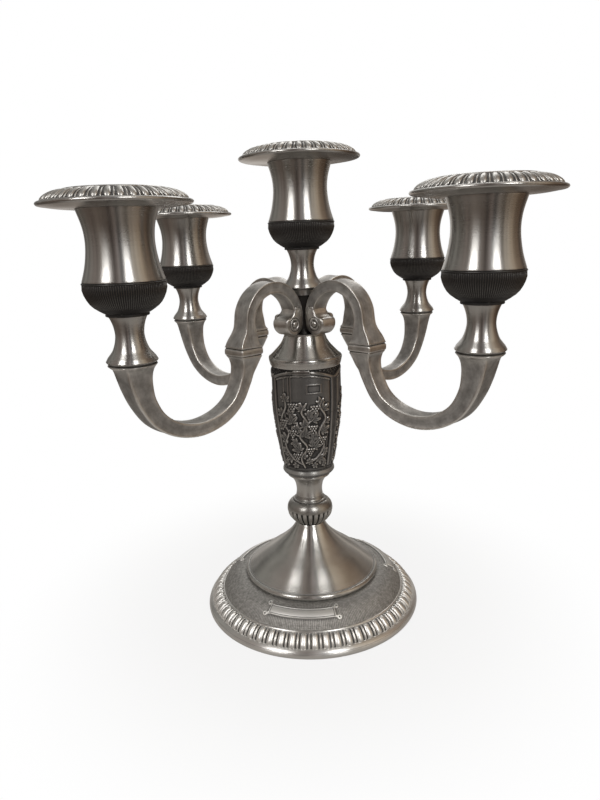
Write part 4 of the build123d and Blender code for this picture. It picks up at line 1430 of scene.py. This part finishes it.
    def build(self, shapes: dict[str, bpy.types.Object]) -> None:
        """Builds and places the light.

        Args:
            shapes: the flute, bead and bar to copy.
        """
        name = self.place.value
        for part, shell, finish, slot in (
                ("neck", self.neck(), "turned", Slot.TURNED), ("bowl", self.bowl(), "bowl", Slot.DARK),
                ("sleeve", self.sleeve(), "turned", Slot.TURNED)):
            settle(shell.moved(self.centre).make(f"{part}_turning_{name}"), finish, nodes=[f"{part}_{name}"])
        fluting = ring("bowl_fluting_" + name, shapes["flute"], self.flutes, metal("bowl"), centre=self.centre)
        settle(fluting, "bowl", nodes=["bowl_" + name])
        body, node = "pan_" + name, "drip_pan_" + name
        settle(self.pan().moved(self.centre).make("pan_turning_" + name), "turned", body, [node])
        for part, first in (("bead", FRONT), ("bar", FRONT + 180 / self.beads)):
            piece = ring(f"pan_{part}s_{name}", shapes[part], self.beads, metal("ornament"), first, self.centre)
            settle(piece, "ornament", body, [node])


# ---------------------------------------------------------------- studio
@dataclass(frozen=True)
class Lamp:
    """One soft lamp.

    Its direction is in degrees, 0 the front and 90 the right; lengths are in m and power in W; aim is
    the height that it faces on the stem.
    """

    name: str
    azimuth: float
    height: float
    far: float
    size: Point
    power: float
    aim: float = 0.15

    def hang(self) -> None:
        """Makes the lamp."""
        data = bpy.data.lights.new(self.name, "AREA")
        data.shape, data.energy = "RECTANGLE", self.power
        data.size, data.size_y = self.size
        lamp = bpy.data.objects.new(self.name, data)
        a, e = math.radians(self.azimuth), math.radians(self.height)
        middle = Vector((0, 0, self.aim))
        spot = Vector((math.sin(a) * math.cos(e), -math.cos(a) * math.cos(e), math.sin(e))) * self.far + middle
        lamp.location = spot
        lamp.rotation_euler = (middle - spot).to_track_quat("-Z", "Y").to_euler()
        bpy.context.scene.collection.objects.link(lamp)


@dataclass
class Studio:
    """Camera, lamps, pale floor and white surroundings.

    cards are what the metal mirrors round the object, by direction in degrees, and levels the same by
    height, from straight down at -1 to straight up at 1; ripples streak the cards. The shadow on the
    floor fades from shadow_from to shadow_to, in m from the stem.
    """

    lens: float = 28.21
    place: tuple[float, float, float] = (-0.0021, -0.3637, 0.2252)
    pitch: float = 0.2544
    roll: float = -0.0343
    yaw: float = -0.0052
    floor_mirrored: float = 0.12
    floor_tone: Rgb = (0.34, 0.31, 0.28)
    floor_steps: int = 96
    floor_rings: Point = (0.1, 0.3)
    shadow_from: float = 0.07
    shadow_to: float = 0.2
    shadow_glow: float = 0.86
    ripples: float = 27.0
    ripple_depth: float = 3.6
    plain: Rgb = (0.75, 0.75, 0.75)
    lamps: tuple[Lamp, ...] = (
        Lamp("left softbox", -42, 38, 1.3, (0.42, 0.56), 5.4), Lamp("right softbox", 26, 38, 1.3, (0.36, 0.56), 4.8),
        Lamp("back softbox", 165, 45, 1.5, (0.8, 0.5), 3))
    cards: tuple[tuple[float, Rgb], ...] = (
        (-180, (1.0, 1.0, 0.98)), (-152, (0.50, 0.48, 0.46)), (-126, (0.12, 0.12, 0.11)), (-108, (0.60, 0.58, 0.54)),
        (-82, (0.16, 0.12, 0.11)), (-56, (0.50, 0.45, 0.41)), (-20, (0.22, 0.18, 0.16)), (0, (0.18, 0.14, 0.13)),
        (18, (0.65, 0.65, 0.66)), (30, (0.22, 0.20, 0.18)), (58, (1.0, 0.90, 0.78)), (72, (0.72, 0.60, 0.46)),
        (94, (0.28, 0.19, 0.13)), (126, (0.17, 0.13, 0.10)), (152, (0.50, 0.47, 0.44)))
    levels: tuple[tuple[float, Rgb], ...] = (
        (-1.0, (0.7, 0.65, 0.6)), (-0.6, (0.35, 0.30, 0.26)), (-0.25, (0.42, 0.36, 0.32)), (0.0, (0.70, 0.68, 0.66)),
        (0.35, (1.0, 1.0, 1.0)), (1.0, (1.0, 1.0, 1.0)))

    def camera(self) -> None:
        """Makes the camera and its view."""
        data = bpy.data.cameras.new("Camera")
        data.lens, data.sensor_width, data.clip_start = self.lens, 36.0, 0.01
        camera = bpy.data.objects.new("Camera", data)
        bpy.context.scene.collection.objects.link(camera)
        cp, sp, cy, sy = math.cos(self.pitch), math.sin(self.pitch), math.cos(self.yaw), math.sin(self.yaw)
        ahead = np.array([sy * cp, cy * cp, -sp])
        right = np.array([cy, -sy, 0.0])
        up = np.cross(right, ahead)
        c, s = math.cos(self.roll), math.sin(self.roll)
        right, up = c * right + s * up, -s * right + c * up
        rows = zip(np.stack([right, up, -ahead], 1).tolist(), self.place)
        camera.matrix_world = Matrix([[*row, shift] for row, shift in rows] + [[0, 0, 0, 1]])
        bpy.context.scene.camera = camera

    def world(self) -> None:
        """White surroundings; for what the metal mirrors, grey cards stand in front of parts of them."""
        world = bpy.data.worlds.new("Studio")
        bpy.context.scene.world = world
        world.use_nodes = True
        graph = Graph(world.node_tree)
        way = graph.add("ShaderNodeSeparateXYZ", {0: graph.add("ShaderNodeTexCoord").outputs["Generated"]}).outputs
        turn = graph.math("ARCTAN2", way["X"], graph.math("MULTIPLY", way["Y"], -1.0))
        around = graph.times(turn, 1 / FULL_TURN, 0.5)
        cards = self.ramp(graph, around, [(degrees / 360 + 0.5, tone) for degrees, tone in self.cards])
        ripple = graph.add("ShaderNodeTexNoise", {"W": around, "Scale": self.ripples, "Detail": 3.0},
                           noise_dimensions="1D")
        streak = graph.times(ripple.outputs["Fac"], self.ripple_depth, 1 - self.ripple_depth / 2)
        streaked = graph.add("ShaderNodeVectorMath", {0: cards, "Scale": streak}, operation="SCALE")
        levels = self.ramp(graph, graph.times(way["Z"], 0.5, 0.5), [(z / 2 + 0.5, tone) for z, tone in self.levels])
        mirrored = graph.mix(1.0, streaked.outputs[0], levels, "MULTIPLY")
        path = graph.add("ShaderNodeLightPath").outputs
        plain = graph.mix(path["Is Glossy Ray"], (*self.plain, 1), mirrored)
        seen = graph.math("MAXIMUM", path["Is Camera Ray"], path["Is Transmission Ray"])
        graph.feed(graph.tree.nodes["Background"], {"Color": graph.mix(seen, plain, (1, 1, 1, 1))})

    @staticmethod
    def ramp(graph: Graph, value: bpy.types.NodeSocket, stops: Sequence[tuple[float, Rgb]]) -> bpy.types.NodeSocket:
        """Adds a smooth colour ramp.

        Args:
            graph: the node tree.
            value: the socket that drives the ramp.
            stops: place from 0 to 1 and colour of each stop.

        Returns:
            The ramp's colour.
        """
        ramp = graph.add("ShaderNodeValToRGB", {0: value})
        ramp.color_ramp.interpolation = "B_SPLINE"
        points = ramp.color_ramp.elements
        while len(points) < len(stops):
            points.new(0.5)
        for point, (place, tone) in zip(points, stops):
            point.position, point.color = place, (*tone, 1)
        return ramp.outputs["Color"]

    def floor(self) -> None:
        """Pale round floor that keeps the object's shadow."""
        mesh = bpy.data.meshes.new("floor")
        count = self.floor_steps
        angle = np.arange(count) / count * FULL_TURN
        rings = [np.stack([r * np.cos(angle), r * np.sin(angle), 0 * angle], 1) for r in self.floor_rings]
        faces = [(j, count + j, count + (j + 1) % count, (j + 1) % count) for j in range(count)]
        faces += [(2 * count, j, (j + 1) % count) for j in range(count)]
        mesh.from_pydata(np.vstack([*rings, [[0, 0, 0]]]).tolist(), [], faces)
        floor = bpy.data.objects.new("floor", mesh)
        bpy.context.scene.collection.objects.link(floor)
        material = bpy.data.materials.new("Pale floor")
        material.use_nodes = True
        graph = Graph(material.node_tree)
        shader = graph.tree.nodes["Principled BSDF"]
        graph.feed(shader, {"Base Color": (*self.floor_tone, 1), "Roughness": 0.9, "Specular IOR Level": 0.1})
        glow = graph.add("ShaderNodeEmission", {"Strength": 1.0})
        place = graph.add("ShaderNodeTexCoord").outputs["Object"]
        radius = graph.add("ShaderNodeVectorMath", {0: place}, operation="LENGTH").outputs["Value"]
        fade = graph.add("ShaderNodeMapRange", {
            "Value": radius, "From Min": self.shadow_from, "From Max": self.shadow_to, "To Min": self.shadow_glow,
            "To Max": 1.0}, interpolation_type="SMOOTHSTEP")
        path = graph.add("ShaderNodeLightPath").outputs
        seen = graph.math("MAXIMUM", path["Is Camera Ray"], path["Is Transmission Ray"])
        seen = graph.times(path["Is Glossy Ray"], self.floor_mirrored, seen)
        mix = graph.add("ShaderNodeMixShader", {
            0: graph.math("MULTIPLY", seen, fade.outputs[0]), 1: shader.outputs[0], 2: glow.outputs[0]})
        graph.feed(graph.tree.nodes["Material Output"], {"Surface": mix.outputs[0]})
        mesh.materials.append(material)

    def build(self) -> None:
        """Sets up the whole studio."""
        bpy.context.scene.view_settings.view_transform = "Standard"
        self.camera()
        self.world()
        self.floor()
        for lamp in self.lamps:
            lamp.hang()


def main() -> None:
    """Builds the candelabra round its frame."""
    logging.basicConfig(level=logging.INFO, format="%(name)s: %(message)s")
    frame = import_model()
    Studio().build()
    Foot().build()
    Stem().build()
    Body().build()
    Arm().build()
    first = Light(Place.CENTRE)
    shapes = {"flute": first.flute().make("flute_shape"), "bead": first.bead().make("bead_shape"),
              "bar": first.bar().make("bar_shape")}
    for place in Place:
        Light(place).build(shapes)
    for shape in shapes.values():
        discard(shape)
    # the hub spindle takes the hub finish, whose near-black colour is painted shade
    for node in ("hub_spindle", "tie_rod", "base_washer", "base_nut", "top_nut", "light_screws"):
        materials = frame["nodes"][node].data.materials
        for k in range(len(materials)):
            materials[k] = metal("hub" if node == "hub_spindle" else "steel")


if __name__ == "__main__":
    main()
